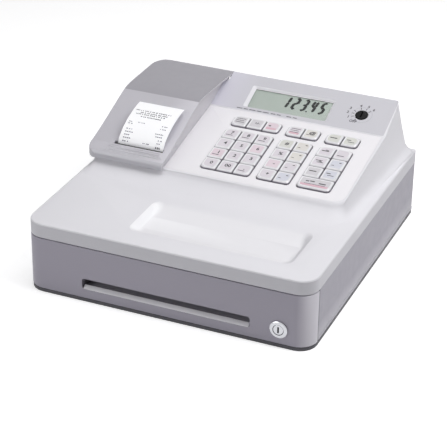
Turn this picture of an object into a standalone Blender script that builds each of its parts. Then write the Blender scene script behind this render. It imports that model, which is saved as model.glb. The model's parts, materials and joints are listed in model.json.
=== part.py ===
"""Small electronic till with a keyboard, a receipt printer and a cash drawer.

Sizes are in millimetres and MM turns them into the metres of the scene. X runs to the right seen from
the front, the drawer faces -Y, and Z is up from the floor. The origin is under the middle of the till.
"""

import math

import bpy
import bmesh
from mathutils import Matrix, Vector

MM = 0.001

# Whole till.
HALF_WIDTH = 165.0
HALF_DEPTH = 172.5
DECK_Z = 83.5
SKIRT_Z = 66.9
FRONT_CORNER = 20.0
BACK_CORNER = 2.5
EDGE_ROUND = 2.0
WALL = 2.5
SLOPE_WALL = 4.1
GAP = 0.4

# Raised housing that carries the keyboard, the display and the printer.
HOUSE_LEFT = -155.4
HOUSE_RIGHT = 143.2
HOUSE_FRONT = -26.0
HOUSE_BACK = 172.2
HOUSE_CORNERS = (5.0, 15.0, 15.0, 15.0)
FLARE_FRONT = 23.0
RIGHT_SWEEP = (0.235, 5.0, 0.143)
LEFT_SWEEP = (0.05, 6.0, 0.0)
SWEEP_HEIGHTS = (0.0, 0.6, 2.0, 4.5, 9.0)
SWEEP_EDGE = 0.8
SWEEP_MIDDLE = 0.45
OVER_SLOPE = 0.6
TALL = 165.0
SPLIT_X = -71.0
CHEEK_LEFT = -72.6
CHEEK_RIGHT = -70.4

# Keyboard slope, display slope and printer rim.
KEYS_Y = -25.0
KEYS_Z = 98.2
KEYS_RISE = 0.1715
KEYS_ANGLE = math.atan(KEYS_RISE)
SCREEN_Y = 110.5
SCREEN_Z = KEYS_Z + KEYS_RISE * (SCREEN_Y - KEYS_Y)
SCREEN_RISE = 0.388
SCREEN_ANGLE = math.atan(SCREEN_RISE)
RIDGE_Y = 165.7
BACK_RIM_Z = 127.3
RIM_STEP = 0.2

# Keyboard panel and keys, measured along the slope from its front edge.
PANEL_LEFT = -69.8
PANEL_RIGHT = 141.0
PANEL_FRONT = 3.0
PANEL_BACK = 135.6
PANEL_THICK = 2.4
PANEL_CORNERS = (2.0, 13.0, 2.0, 2.0)
KEY_X = 19.8
KEY_Y = 20.3
KEY_GAP = 1.1
KEY_RINGS = ((-4.9, 0.0), (1.6, 0.0), (3.2, 1.3), (2.85, 2.6))
BLOCK_ROUND = 4.0
KEY_ROUND = 1.0
ROW_FRONT = 24.4
ROWS = 4
TOP_ROW = 112.6
WIDE_ROW = ("right", 0)
BLOCKS = (("left", -22.0, 3), ("middle", 45.1, 2), ("right", 92.5, 2))
BOARD_TOP = -7.5
BOARD_THICK = 1.6
PEG_PLACE = (-46.0, 9.9)
PEG_STEPS = (175.0, 117.6)
PEG_R = 2.6

# Display.
SCREEN_RIM = (-32.0, 71.2, 6.5, 42.2)
SCREEN_GLASS = (-27.4, 69.0, 8.0, 40.2)
SCREEN_DEEP = 1.6
LENS_TOP = -2.0
LENS_THICK = 0.8
LENS_MARGIN = 3.0
LCD_TOP = -2.9
LCD_BOARD = -8.8
SWITCH_X = 107.7
SWITCH_V = 26.2
SWITCH_R = 7.3

# Tray in the deck.
TRAY_LEFT = -55.0
TRAY_RIGHT = 128.5
TRAY_FRONT = -143.0
TRAY_BACK = -74.0

# Printer cover, its outline from the front foot over the top to the back.
COVER_LEFT = -163.4
COVER_RIGHT = -68.2
COVER_WIDER = 4.0
CREASE_Y = 76.0
COVER_WALL = 2.4
COVER_LINE = (
    (-30.0, 97.0), (-31.3, 101.0), (-31.0, 104.0), (-28.8, 106.4), (-24.5, 107.7), (-12.0, 110.8),
    (5.0, 116.0), (22.0, 121.9), (40.0, 128.5), (55.0, 134.1), (66.0, 138.0), (72.0, 139.8),
    (78.0, 141.0), (86.0, 141.8), (100.0, 142.1), (130.0, 142.3), (155.0, 142.4), (166.0, 142.3),
    (169.3, 141.4), (170.8, 139.6), (171.0, 137.0), (171.0, 129.8),
)
HINGE_Y = 163.0
HINGE_Z = 134.2
HINGE_PIN = 1.8
HINGE_RELIEF = 9.6
RIDGE_RELIEF = 10.9
RELIEF_RIGHT = -63.7
EAR_LEFT = -148.6
RIM_WIDTH = 9.6
EAR_R = 3.4
COVER_CORNERS = (14.0, 24.0)
SLOT_Y = -9.0
SLOT_FRONT = 3.4
SLOT_BACK = 1.5
PAPER_LEFT = -132.4
PAPER_RIGHT = -76.4
PAPER_THICK = 0.25

# Printer works.
WORKS_LEFT = -141.5
WORKS_RIGHT = -72.9
WORKS_FRONT = -22.0
PLATEN_Y = -6.0
PLATEN_Z = 96.0
PLATEN_R = 6.0
JOURNAL_R = 2.0
ARM_Y = 31.0
ARM_Z = 96.0
ARM_PIN = 1.7
ROLL_Y = 96.0
ROLL_Z = 98.2
ROLL_R = 27.0
CORE_R = 6.5
TROUGH_Y = 98.0
TROUGH_Z = 104.4
TROUGH_R = 34.0

# Lower case, base and drawer.
CASE_X = 164.6
CASE_FRONT = -150.5
CASE_BACK = 172.2
CASE_BOTTOM = 4.6
BASE_X = 164.7
BASE_BOTTOM = 0.2
CASE_TOP = 66.6
RAIL_Z = 30.0
FOOT_XY = 140.0
FOOT_R = 9.0
DRAWER_X = 156.0
DRAWER_FRONT_Y = -152.5
DRAWER_BACK_Y = 150.0
DRAWER_BOTTOM = 7.5
DRAWER_TOP = 56.0
FACE_TOP = 65.6
FACE_BOTTOM = 4.9
FACE_RETURN = -152.0
FACE_WALL = 3.0
HANDLE_HALF = 97.0
HANDLE_LOW = 15.4
HANDLE_HIGH = 28.2
LOCK_X = 129.3
LOCK_Z = 21.8
LOCK_R = 9.0
PLUG_R = 5.8
GLAND_X = 120.0
GLAND_Z = 19.0
GLAND_R = 5.6
CLIP_Y = 139.0
CLIP_Z = 29.0
CLIP_PIN = 1.6
CLIP_XS = (-102.3, 0.0, 102.3)
NOTE_WIDTH = 100.3


def clear_scene():
    for obj in list(bpy.data.objects):
        bpy.data.objects.remove(obj, do_unlink=True)


def material(name, colour, roughness, metallic=0.0, **extra):
    """A Principled material; colour is linear RGB."""
    made = bpy.data.materials.new(name)
    made.use_nodes = True
    shader = made.node_tree.nodes["Principled BSDF"]
    shader.inputs["Base Color"].default_value = (*colour, 1.0)
    shader.inputs["Roughness"].default_value = roughness
    shader.inputs["Metallic"].default_value = metallic
    for socket, value in extra.items():
        shader.inputs[socket.replace("_", " ")].default_value = value
    made.diffuse_color = (*colour, 1.0)
    return made


def from_bmesh(name, work, surface=None):
    bmesh.ops.recalc_face_normals(work, faces=work.faces)
    mesh = bpy.data.meshes.new(name)
    work.to_mesh(mesh)
    work.free()
    obj = bpy.data.objects.new(name, mesh)
    bpy.context.scene.collection.objects.link(obj)
    if surface is None:
        obj.hide_render = True
        obj.display_type = "WIRE"
    else:
        obj.data.materials.append(surface)
    return obj


def loft(name, rings, surface=None, frame=None):
    """A closed solid through rings that have the same number of points."""
    work = bmesh.new()
    frame = frame or Matrix.Identity(4)
    rows = [[work.verts.new((frame @ Vector(p)) * MM) for p in ring] for ring in rings]
    count = len(rings[0])
    for low, high in zip(rows, rows[1:]):
        for i in range(count):
            j = (i + 1) % count
            work.faces.new((low[i], low[j], high[j], high[i]))
    work.faces.new(rows[0][::-1])
    work.faces.new(rows[-1])
    return from_bmesh(name, work, surface)


def rounded(x0, x1, y0, y1, radii, steps=4):
    """Outline of a rectangle with rounded corners, anticlockwise from the corner at (x0, y0)."""
    if not isinstance(radii, tuple):
        radii = (radii,) * 4
    corners = (
        (x0, y0, 1, 1, math.pi),
        (x1, y0, -1, 1, 1.5 * math.pi),
        (x1, y1, -1, -1, 0.0),
        (x0, y1, 1, -1, 0.5 * math.pi),
    )
    points = []
    for (cx, cy, sx, sy, start), radius in zip(corners, radii):
        for i in range(steps + 1):
            turn = start + 0.5 * math.pi * i / steps
            x = cx + sx * radius + radius * math.cos(turn)
            y = cy + sy * radius + radius * math.sin(turn)
            points.append((x, y))
    return points


def at_height(outline, z):
    return [(x, y, z) for x, y in outline]


def prism(name, outline, z0, z1, surface=None, frame=None):
    return loft(name, [at_height(outline, z0), at_height(outline, z1)], surface, frame)


def slab(name, box, z0, z1, radii, edge, surface=None, frame=None, steps=4):
    """A plate with rounded corners and a rounded top edge."""
    x0, x1, y0, y1 = box
    rings = [at_height(rounded(x0, x1, y0, y1, radii, steps), z0)]
    for drop, inset in ((1.0, 0.0), (0.3, 0.3), (0.0, 1.0)):
        radii_in = tuple(max(0.2, r - inset * edge) for r in radii)
        ring = rounded(
            x0 + inset * edge, x1 - inset * edge, y0 + inset * edge, y1 - inset * edge, radii_in, steps
        )
        rings.append(at_height(ring, z1 - drop * edge))
    return loft(name, rings, surface, frame)


def along_x(name, outline, x0, x1, surface=None):
    """A closed outline in Y and Z pushed from x0 to x1."""
    rings = [[(x, y, z) for y, z in outline] for x in (x0, x1)]
    return loft(name, rings, surface)


def block(name, x, y, z, surface=None, edge=0.0, frame=None):
    """A box between the limits x, y and z, with its edges bevelled."""
    bpy.ops.mesh.primitive_cube_add(size=1.0)
    obj = bpy.context.object
    obj.name = obj.data.name = name
    spans = [b - a for a, b in (x, y, z)]
    middle = Vector([(a + b) / 2 for a, b in (x, y, z)])
    place = (frame or Matrix.Identity(4)) @ Matrix.Translation(middle) @ Matrix.Diagonal((*spans, 1.0))
    obj.data.transform(Matrix.Scale(MM, 4) @ place)
    finish(obj, surface)
    if edge:
        add_bevel(obj, edge)
    return obj


def finish(obj, surface):
    if surface is None:
        obj.hide_render = True
        obj.display_type = "WIRE"
    else:
        obj.data.materials.append(surface)


def rod(name, start, end, radius, surface=None, sides=24, frame=None):
    """A cylinder between two points."""
    start, end = Vector(start), Vector(end)
    bpy.ops.mesh.primitive_cylinder_add(vertices=sides, radius=radius, depth=(end - start).length)
    obj = bpy.context.object
    obj.name = obj.data.name = name
    turn = (end - start).to_track_quat("Z", "Y").to_matrix().to_4x4()
    place = (frame or Matrix.Identity(4)) @ Matrix.Translation((start + end) / 2) @ turn
    obj.data.transform(Matrix.Scale(MM, 4) @ place)
    finish(obj, surface)
    return obj


def add_bevel(obj, width, segments=2):
    bevel = obj.modifiers.new("edges", "BEVEL")
    bevel.width = width * MM
    bevel.segments = segments
    bevel.limit_method = "ANGLE"
    return bevel


def combine(obj, other, operation):
    step = obj.modifiers.new(other.name, "BOOLEAN")
    step.operation = operation
    step.solver = "EXACT"
    step.object = other
    return obj


def cut(obj, *others):
    for other in others:
        combine(obj, other, "DIFFERENCE")
    return obj


def add(obj, *others):
    for other in others:
        combine(obj, other, "UNION")
    return obj


def repeat(obj, count, step):
    """Copies of a cutter or lug, each one step further on."""
    array = obj.modifiers.new("repeat", "ARRAY")
    array.count = count
    array.use_relative_offset = False
    array.use_constant_offset = True
    array.constant_offset_displace = [s * MM for s in step]
    return obj


def set_origin(obj, point):
    """Moves the object's origin onto its joint axis without moving the piece."""
    place = Vector(point) * MM
    obj.data.transform(Matrix.Translation(-place))
    obj.matrix_world = Matrix.Translation(place)
    return obj


def smooth(obj):
    for face in obj.data.polygons:
        face.use_smooth = True
    return obj


def keys_height(y):
    return KEYS_Z + KEYS_RISE * (y - KEYS_Y)


def screen_height(y):
    return SCREEN_Z + SCREEN_RISE * (y - SCREEN_Y)


def cover_height(y):
    """Height of the printer cover's outline over y, from its nose to its back."""
    line = COVER_LINE[3:]
    for (y0, z0), (y1, z1) in zip(line, line[1:]):
        if y0 <= y <= y1:
            return z0 + (z1 - z0) * (y - y0) / (y1 - y0)
    return line[0][1]


def slope_frame(y, z, angle):
    return Matrix.Translation((0.0, y, z)) @ Matrix.Rotation(angle, 4, "X")


KEYS_FRAME = slope_frame(KEYS_Y, KEYS_Z, KEYS_ANGLE)
SCREEN_FRAME = slope_frame(SCREEN_Y, SCREEN_Z, SCREEN_ANGLE)

# Frames whose local Z is the axis of a round piece: along +X (local X is Y) and along -Y (local X is X).
AXIS_X = Matrix(((0, 0, 1, 0), (1, 0, 0, 0), (0, 1, 0, 0), (0, 0, 0, 1)))
AXIS_FRONT = Matrix(((1, 0, 0, 0), (0, 0, -1, 0), (0, 1, 0, 0), (0, 0, 0, 1)))


def wall_height(x, y):
    if x > SPLIT_X and y > SCREEN_Y:
        return screen_height(min(y, RIDGE_Y))
    if x > SPLIT_X:
        return keys_height(y)
    return min(keys_height(y), BACK_RIM_Z)


def sweep(nx, ny, rise, height):
    """How far a wall stands out at a height over the deck; the back wall stays upright."""
    draft, radius, growth = RIGHT_SWEEP if nx > 0 else LEFT_SWEEP
    radius += growth * rise
    low = max(0.0, 1.0 - height / radius)
    side = draft * (rise - height) + radius * (1.0 - math.sqrt(1.0 - low * low))
    if ny > 0:
        return math.copysign(side * math.sqrt(abs(nx)), nx), 0.0
    out = side * nx * nx + FLARE_FRONT * (1.0 - height / rise) ** 2 * ny * ny
    return nx * out, ny * out


def outward(outline):
    """Unit normals of an anticlockwise outline."""
    count = len(outline)
    found = []
    for i in range(count):
        ax, ay = outline[i - 1]
        bx, by = outline[(i + 1) % count]
        length = math.hypot(bx - ax, by - ay)
        found.append(((by - ay) / length, (ax - bx) / length))
    return found


def sweep_heights(rise):
    """Heights over the deck at which a wall of this rise gets its outlines."""
    top = SWEEP_HEIGHTS[-1]
    return SWEEP_HEIGHTS + (top + SWEEP_MIDDLE * (rise - top), rise)


def housing_solid(name, inset, base):
    """The raised housing as a tall solid whose walls sweep out softly to the deck."""
    radii = tuple(r - inset for r in HOUSE_CORNERS)
    outline = rounded(
        HOUSE_LEFT + inset, HOUSE_RIGHT - inset, HOUSE_FRONT + inset, HOUSE_BACK - inset, radii, 6
    )
    edge = HALF_WIDTH - SWEEP_EDGE - inset
    walls = []
    for (x, y), (nx, ny) in zip(outline, outward(outline)):
        walls.append((x, y, nx, ny, wall_height(x, y) + OVER_SLOPE - inset - base))
    rings = []
    for step in range(len(SWEEP_HEIGHTS) + 2):
        ring = []
        for x, y, nx, ny, rise in walls:
            height = sweep_heights(rise)[step]
            dx, dy = sweep(nx, ny, rise, height)
            ring.append((max(-edge, min(edge, x + dx)), y + dy, base + height))
        rings.append(ring)
    foot = [(x, y, base - 4.0) for x, y, z in rings[0]]
    return loft(name, [foot] + rings + [at_height(outline, TALL)])


def above_keys(name, drop, left):
    """Everything over the keyboard and display slopes."""
    low = HOUSE_FRONT - 40.0
    outline = (
        (low, keys_height(low) - drop),
        (SCREEN_Y, SCREEN_Z - drop),
        (RIDGE_Y, screen_height(RIDGE_Y) - drop),
        (RIDGE_Y + 3.2, screen_height(RIDGE_Y) - drop - 1.4),
        (RIDGE_Y + 5.2, screen_height(RIDGE_Y) - drop - 5.0),
        (HALF_DEPTH + 8.0, screen_height(RIDGE_Y) - drop - 5.0),
        (HALF_DEPTH + 8.0, TALL + 5.0),
        (low, TALL + 5.0),
    )
    return along_x(name, outline, left, HALF_WIDTH + 5.0)


def above_printer(name, drop, right):
    """Everything over the rim that the printer cover closes onto."""
    low = HOUSE_FRONT - 40.0
    bend = KEYS_Y + (BACK_RIM_Z - KEYS_Z) / KEYS_RISE
    outline = (
        (low, keys_height(low) - drop),
        (bend, BACK_RIM_Z - drop),
        (HALF_DEPTH + 8.0, BACK_RIM_Z - drop),
        (HALF_DEPTH + 8.0, TALL + 5.0),
        (low, TALL + 5.0),
    )
    return along_x(name, outline, -HALF_WIDTH - 5.0, right)


def tray_rings(grow, drop):
    """Outlines of the dished tray from its floor up to its rim."""
    steps = (
        (84.5, -3.0, -9.0, 14.0),
        (83.5, -1.4, -5.0, 13.0),
        (82.6, 0.0, 0.0, 12.0),
        (79.8, 1.8, 6.0, 10.0),
        (77.2, 3.4, 12.0, 8.0),
        (75.9, 5.6, 19.0, 6.0),
    )
    rings = []
    for z, ends, sides, radius in reversed(steps):
        ring = rounded(
            TRAY_LEFT + ends - grow, TRAY_RIGHT - ends + grow,
            TRAY_FRONT + sides - grow, TRAY_BACK - sides + grow, radius + grow, 5,
        )
        rings.append(at_height(ring, z - drop))
    return rings


def make_cabinet(surface):
    """White upper cabinet: deck, skirt, tray, raised housing and printer bay in one moulding."""
    cabinet = slab(
        "top_cabinet", (-HALF_WIDTH, HALF_WIDTH, -HALF_DEPTH, HALF_DEPTH), SKIRT_Z, DECK_Z,
        (FRONT_CORNER, FRONT_CORNER, BACK_CORNER, BACK_CORNER), EDGE_ROUND, surface, steps=7,
    )
    housing = housing_solid("join_housing", 0.0, DECK_Z - 0.2)
    cut(housing, above_keys("cut_slopes", 0.0, SPLIT_X - 2.0), above_printer("cut_rim", RIM_STEP, SPLIT_X))
    add(cabinet, cut(housing, make_relief()))
    add(cabinet, make_cheek(), make_hinge_lug())
    hollow = housing_solid("cut_inside_housing", WALL, DECK_Z - WALL)
    inner_split = RELIEF_RIGHT + WALL
    cut(
        hollow,
        above_keys("cut_inside_slopes", SLOPE_WALL, inner_split - 2.0),
        above_printer("cut_inside_rim", SLOPE_WALL + RIM_STEP, inner_split),
    )
    inside = prism(
        "cut_inside_deck",
        rounded(
            -HALF_WIDTH + WALL, HALF_WIDTH - WALL, -HALF_DEPTH + WALL, HALF_DEPTH - WALL,
            (FRONT_CORNER - WALL, FRONT_CORNER - WALL, BACK_CORNER - 1.5, BACK_CORNER - 1.5), 7,
        ),
        SKIRT_Z - 8.0, DECK_Z - WALL,
    )
    cut(cabinet, inside, hollow)
    add(cabinet, loft("join_tray", tray_rings(WALL, WALL)))
    cut(cabinet, loft("cut_tray", tray_rings(0.0, 0.0)))
    cut(cabinet, *cabinet_openings())
    return add(cabinet, make_screen_pegs())


def make_cheek():
    """Wall between the keyboard and the printer, up to the underside of the cover."""
    top = [(y, cover_height(y) - COVER_WALL - 0.5) for y in (-25.0, -12.0, 5.0, 22.0, 40.0, 55.0, 66.0)]
    top += [(y, cover_height(y) - COVER_WALL - 0.5) for y in (73.0, 82.0, 100.0, 130.0, 155.0)]
    top += [(HINGE_Y, HINGE_Z + 3.6), (HINGE_Y + 3.3, HINGE_Z), (HINGE_Y + 3.3, BACK_RIM_Z - 4.0)]
    low = [(HINGE_Y + 3.3, 110.0), (-25.0, 90.0)]
    return along_x("join_cheek", (top + low)[::-1], CHEEK_LEFT, CHEEK_RIGHT)


def make_relief():
    """Stepped round cutter that gives the cover's back edge room to swing."""
    steps = (
        (HOUSE_LEFT - 8.0, HINGE_RELIEF), (CHEEK_LEFT + 0.7, HINGE_RELIEF),
        (CHEEK_LEFT + 0.75, RIDGE_RELIEF), (RELIEF_RIGHT, RIDGE_RELIEF),
    )
    rings = []
    for x, radius in steps:
        turns = [2.0 * math.pi * (i + 0.5) / 20 for i in range(20)]
        rings.append([(x, HINGE_Y + radius * math.cos(t), HINGE_Z + radius * math.sin(t)) for t in turns])
    return loft("cut_hinge_relief", rings)


def make_hinge_lug():
    """Ear on the left rim that carries the outer pin of the printer cover."""
    outline = [(HINGE_Y + EAR_R, 104.0), (HINGE_Y + EAR_R, HINGE_Z)]
    outline += [
        (HINGE_Y + EAR_R * math.cos(turn), HINGE_Z + EAR_R * math.sin(turn))
        for turn in (0.5, 1.0, 1.57, 2.14, 2.64)
    ]
    outline += [(HINGE_Y - EAR_R, HINGE_Z), (HINGE_Y - EAR_R, 104.0)]
    return along_x("join_lug", outline, EAR_LEFT, EAR_LEFT + 2.8)


def cabinet_openings():
    """Cutters for the keyboard, display, switch, printer bay and cover pins."""
    recess = prism(
        "cut_panel_seat",
        rounded(
            PANEL_LEFT - GAP, PANEL_RIGHT + GAP, PANEL_FRONT - GAP, PANEL_BACK + GAP,
            tuple(r + GAP for r in PANEL_CORNERS), 4,
        ),
        -PANEL_THICK - 0.3, 3.0, frame=KEYS_FRAME,
    )
    through = prism(
        "cut_panel_hole",
        rounded(PANEL_LEFT + 4.0, PANEL_RIGHT - 4.0, PANEL_FRONT + 4.0, PANEL_BACK - 5.0, 6.0, 3),
        -20.0, 0.0, frame=KEYS_FRAME,
    )
    wide = tuple(rim + (rim - glass) / 2 for rim, glass in zip(SCREEN_RIM, SCREEN_GLASS))
    screen = loft(
        "cut_screen",
        [
            at_height(screen_outline(SCREEN_GLASS, 0.0), -20.0),
            at_height(screen_outline(SCREEN_GLASS, 0.0), -SCREEN_DEEP),
            at_height(screen_outline(wide, 0.0), SCREEN_DEEP / 2),
        ],
        frame=SCREEN_FRAME,
    )
    lens_seat = prism("cut_lens_seat", screen_outline(SCREEN_GLASS, LENS_MARGIN + GAP), -20.0, LENS_TOP + 0.3,
                      frame=SCREEN_FRAME)
    switch = rod("cut_switch", (SWITCH_X, SWITCH_V, -20.0), (SWITCH_X, SWITCH_V, 4.0), SWITCH_R + 0.5,
                 sides=28, frame=SCREEN_FRAME)
    bay = prism(
        "cut_bay",
        rounded(HOUSE_LEFT + RIM_WIDTH, CHEEK_LEFT, HOUSE_FRONT + 3.3, HOUSE_BACK - WALL - 3.2, 1.0, 2),
        DECK_Z + 1.0, TALL,
    )
    pins = rod("cut_pins", (HOUSE_LEFT - 8.0, HINGE_Y, HINGE_Z), (CHEEK_LEFT + 1.4, HINGE_Y, HINGE_Z),
               HINGE_PIN + 0.3, sides=20)
    return recess, through, screen, lens_seat, switch, bay, pins


def screen_outline(box, grow):
    x0, x1, v0, v1 = box
    return rounded(x0 - grow, x1 + grow, v0 - grow, v1 + grow, 2.0 + grow / 2, 3)


def key_places():
    """Name, centre, half width and rounded corners of each key, along the slope."""
    places = []
    for label, first, columns in BLOCKS:
        for column in range(columns):
            name = f"key_{label}_top_{column + 1}"
            left, right = column == 0, column == columns - 1
            places.append((name, first + column * KEY_X, TOP_ROW, KEY_X / 2, (left, right, right, left)))
            for row in range(ROWS):
                if (label, row) != WIDE_ROW:
                    places.append(single_key(label, first, row, column, columns))
    label, row = WIDE_ROW
    first = dict((block[0], block[1]) for block in BLOCKS)[label]
    name = f"key_{label}_{row + 1}_1"
    places.append((name, first + KEY_X / 2, ROW_FRONT + row * KEY_Y, KEY_X, (True, True, False, False)))
    return places


def single_key(label, first, row, column, columns):
    """Place of one key of a block; only the corners of the block are well rounded."""
    left, right = column == 0, column == columns - 1
    front, back = row == 0, row == ROWS - 1
    corners = (left and front, right and front, right and back, left and back)
    name = f"key_{label}_{row + 1}_{column + 1}"
    return name, first + column * KEY_X, ROW_FRONT + row * KEY_Y, KEY_X / 2, corners


def make_key(name, x, v, half, corners, surface):
    """Key cap with sloped shoulders and a shallow dish."""
    half = half - KEY_GAP / 2
    deep = (KEY_Y - KEY_GAP) / 2
    rings = []
    for w, inset in KEY_RINGS:
        radii = tuple((BLOCK_ROUND if c else KEY_ROUND) + 0.1 * inset for c in corners)
        ring = rounded(x - half + inset, x + half - inset, v - deep + inset, v + deep - inset, radii, 2)
        rings.append(at_height(ring, w))
    key = loft(name, rings, surface, KEYS_FRAME)
    return set_origin(key, KEYS_FRAME @ Vector((x, v, 0.0)))


def block_outlines():
    """Openings of the panel, one round each block of keys."""
    outlines = []
    deep = KEY_Y / 2 + 0.1
    last_row = ROW_FRONT + (ROWS - 1) * KEY_Y
    for label, first, columns in BLOCKS:
        x0 = first - KEY_X / 2 - 0.1
        x1 = first + (columns - 0.5) * KEY_X + 0.1
        radius = BLOCK_ROUND + 0.5
        outlines.append((label, rounded(x0, x1, ROW_FRONT - deep, last_row + deep, radius, 3)))
        outlines.append((label + "_top", rounded(x0, x1, TOP_ROW - deep, TOP_ROW + deep, radius, 3)))
    return outlines


def make_panel(surface):
    """White keyboard panel with six windows for the keys and pegs for the contact board."""
    panel = slab(
        "keyboard_panel", (PANEL_LEFT, PANEL_RIGHT, PANEL_FRONT, PANEL_BACK), -PANEL_THICK, 0.1,
        PANEL_CORNERS, 0.6, surface, KEYS_FRAME,
    )
    x, v = PEG_PLACE
    pegs = rod("join_pegs", (x, v, BOARD_TOP + GAP), (x, v, -1.2), PEG_R, sides=12, frame=KEYS_FRAME)
    repeat(pegs, 2, (PEG_STEPS[0], 0.0, 0.0))
    repeat(pegs, 2, KEYS_FRAME.to_3x3() @ Vector((0.0, PEG_STEPS[1], 0.0)))
    add(panel, pegs)
    for label, outline in block_outlines():
        cut(panel, prism("cut_keys_" + label, outline, -6.0, 3.0, frame=KEYS_FRAME))
    return panel


def make_key_board(surface):
    """Contact board under the keys, with its edge connector."""
    low = BOARD_TOP - BOARD_THICK
    board = block("key_board", (-52.0, 134.5), (5.5, 131.5), (low, BOARD_TOP), surface, 0.3, KEYS_FRAME)
    plug = block("join_key_plug", (-20.0, 20.0), (10.0, 16.0), (low - 5.0, low + 0.5), frame=KEYS_FRAME)
    return add(board, plug)


def make_window(surface):
    """Clear lens seated under the sloped frame of the display."""
    outline = screen_outline(SCREEN_GLASS, LENS_MARGIN)
    return prism("display_window", outline, LENS_TOP - LENS_THICK, LENS_TOP, surface, SCREEN_FRAME)


def make_lcd(surface):
    """Liquid crystal module behind the lens, with its board."""
    x0, x1, v0, v1 = SCREEN_GLASS
    module = block("lcd_module", (x0 - 1.5, x1 + 1.5), (v0 - 1.5, v1 + 1.5), (LCD_BOARD + 1.0, LCD_TOP),
                   surface, 0.3, SCREEN_FRAME)
    board = block("join_lcd_board", (x0 - 8.5, x1 + 8.5), (v0 - 2.5, v1 + 2.5), (LCD_BOARD, LCD_BOARD + 1.6),
                  frame=SCREEN_FRAME)
    return add(module, board)


def make_screen_pegs():
    """Pegs under the display slope that the module's board is screwed to."""
    x0, x1, v0, v1 = SCREEN_GLASS
    pegs = rod("join_screen_pegs", (x0 - 6.4, v0 + 2.0, LCD_BOARD + 2.0), (x0 - 6.4, v0 + 2.0, -1.0), 1.8,
               sides=12, frame=SCREEN_FRAME)
    repeat(pegs, 2, (x1 - x0 + 12.8, 0.0, 0.0))
    return repeat(pegs, 2, SCREEN_FRAME.to_3x3() @ Vector((0.0, v1 - v0 - 4.0, 0.0)))


def make_switch(surface):
    """Black mode switch with a key slot."""
    steps = ((-14.0, 5.2), (-3.0, 5.2), (-2.9, SWITCH_R), (0.5, SWITCH_R), (1.1, SWITCH_R - 0.6))
    switch = turned("mode_switch", steps, (SWITCH_X, SWITCH_V), surface, 28, SCREEN_FRAME)
    slot = block("cut_switch_slot", (SWITCH_X - 0.8, SWITCH_X + 0.8), (SWITCH_V - 4.2, SWITCH_V + 4.2),
                 (-3.5, 4.0), frame=SCREEN_FRAME)
    cut(switch, slot)
    return set_origin(switch, SCREEN_FRAME @ Vector((SWITCH_X, SWITCH_V, 0.0)))


def inner_cover_line():
    """Inside of the cover's outline, one wall in from the outside."""
    line = list(COVER_LINE)
    inner = []
    for i, (y, z) in enumerate(line):
        ay, az = line[max(0, i - 1)]
        by, bz = line[min(len(line) - 1, i + 1)]
        length = math.hypot(by - ay, bz - az)
        inner.append((y + COVER_WALL * (bz - az) / length, z - COVER_WALL * (by - ay) / length))
    return inner


def cover_solid(name, line, inset, surface=None):
    """The cover's outline pushed across, its corners rounded in plan and its right edge wider at the back."""
    right = COVER_RIGHT + (8.0 if inset else 0.0)
    closed = list(line) + [(line[-1][0], 80.0), (line[0][0], 80.0)]
    solid = along_x(name, closed[::-1], COVER_LEFT + inset, right + COVER_WIDER, surface)
    steps = 6
    radii = (COVER_CORNERS[0] - inset, 0.2, 0.2, COVER_CORNERS[1] - inset)
    outline = rounded(COVER_LEFT + inset, right, -31.5 + inset, 171.1 - inset, radii, steps)
    start = 2 * (steps + 1)
    end = start + steps + 1
    wider = [(x + COVER_WIDER, y) for x, y in outline[start:end]]
    plan = prism(name + "_plan", outline[:start] + [(right, CREASE_Y)] + wider + outline[end:], 70.0, 150.0)
    return combine(solid, plan, "INTERSECT")


def make_cover(surface):
    """Grey hinged printer cover with its paper slot and the ribs below it."""
    cover = cover_solid("printer_cover", COVER_LINE, 0.0, surface)
    cut(cover, cover_solid("cut_cover_inside", inner_cover_line(), COVER_WALL))
    low = -60.0
    bend = KEYS_Y + (BACK_RIM_Z - KEYS_Z) / KEYS_RISE
    below = ((low, 60.0), (HALF_DEPTH + 8.0, 60.0), (HALF_DEPTH + 8.0, BACK_RIM_Z + 3.1),
             (bend, BACK_RIM_Z + 0.5), (low, keys_height(low) + 0.5))
    cut(cover, along_x("cut_cover_foot", below, -HALF_WIDTH - 5.0, 0.0))
    lug = along_x(
        "join_cover_lug",
        ((HINGE_Y + 3.4, HINGE_Z), (HINGE_Y + 3.4, 141.0), (HINGE_Y - 3.4, 141.0), (HINGE_Y - 3.4, HINGE_Z),
         (HINGE_Y - 2.4, HINGE_Z - 2.4), (HINGE_Y, HINGE_Z - 3.4), (HINGE_Y + 2.4, HINGE_Z - 2.4)),
        CHEEK_LEFT - 3.6, CHEEK_LEFT - 0.5,
    )
    right_pin = rod("join_right_pin", (CHEEK_LEFT - 1.5, HINGE_Y, HINGE_Z),
                    (CHEEK_LEFT + 1.2, HINGE_Y, HINGE_Z), HINGE_PIN, sides=16)
    left_pin = rod("join_left_pin", (COVER_LEFT + 1.2, HINGE_Y, HINGE_Z), (EAR_LEFT + 2.4, HINGE_Y, HINGE_Z),
                   HINGE_PIN, sides=16)
    add(cover, lug, right_pin, left_pin)
    notch = block("cut_cover_notch", (EAR_LEFT - 0.7, EAR_LEFT + 3.5), (HINGE_Y + 2.6, HALF_DEPTH),
                  (120.0, HINGE_Z + 2.4))
    slot = block("cut_slot", (PAPER_LEFT - 4.0, PAPER_RIGHT + 0.8), (SLOT_Y - SLOT_FRONT, SLOT_Y + SLOT_BACK),
                 (104.0, 120.0))
    corner = block("cut_cover_corner", (CHEEK_LEFT - 0.8, CHEEK_RIGHT + 0.6), (HINGE_Y + 2.6, HALF_DEPTH),
                   (120.0, HINGE_Z + 2.4))
    cut(cover, notch, corner, slot, *slot_ribs())
    return set_origin(cover, (COVER_LEFT, HINGE_Y, HINGE_Z))


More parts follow.
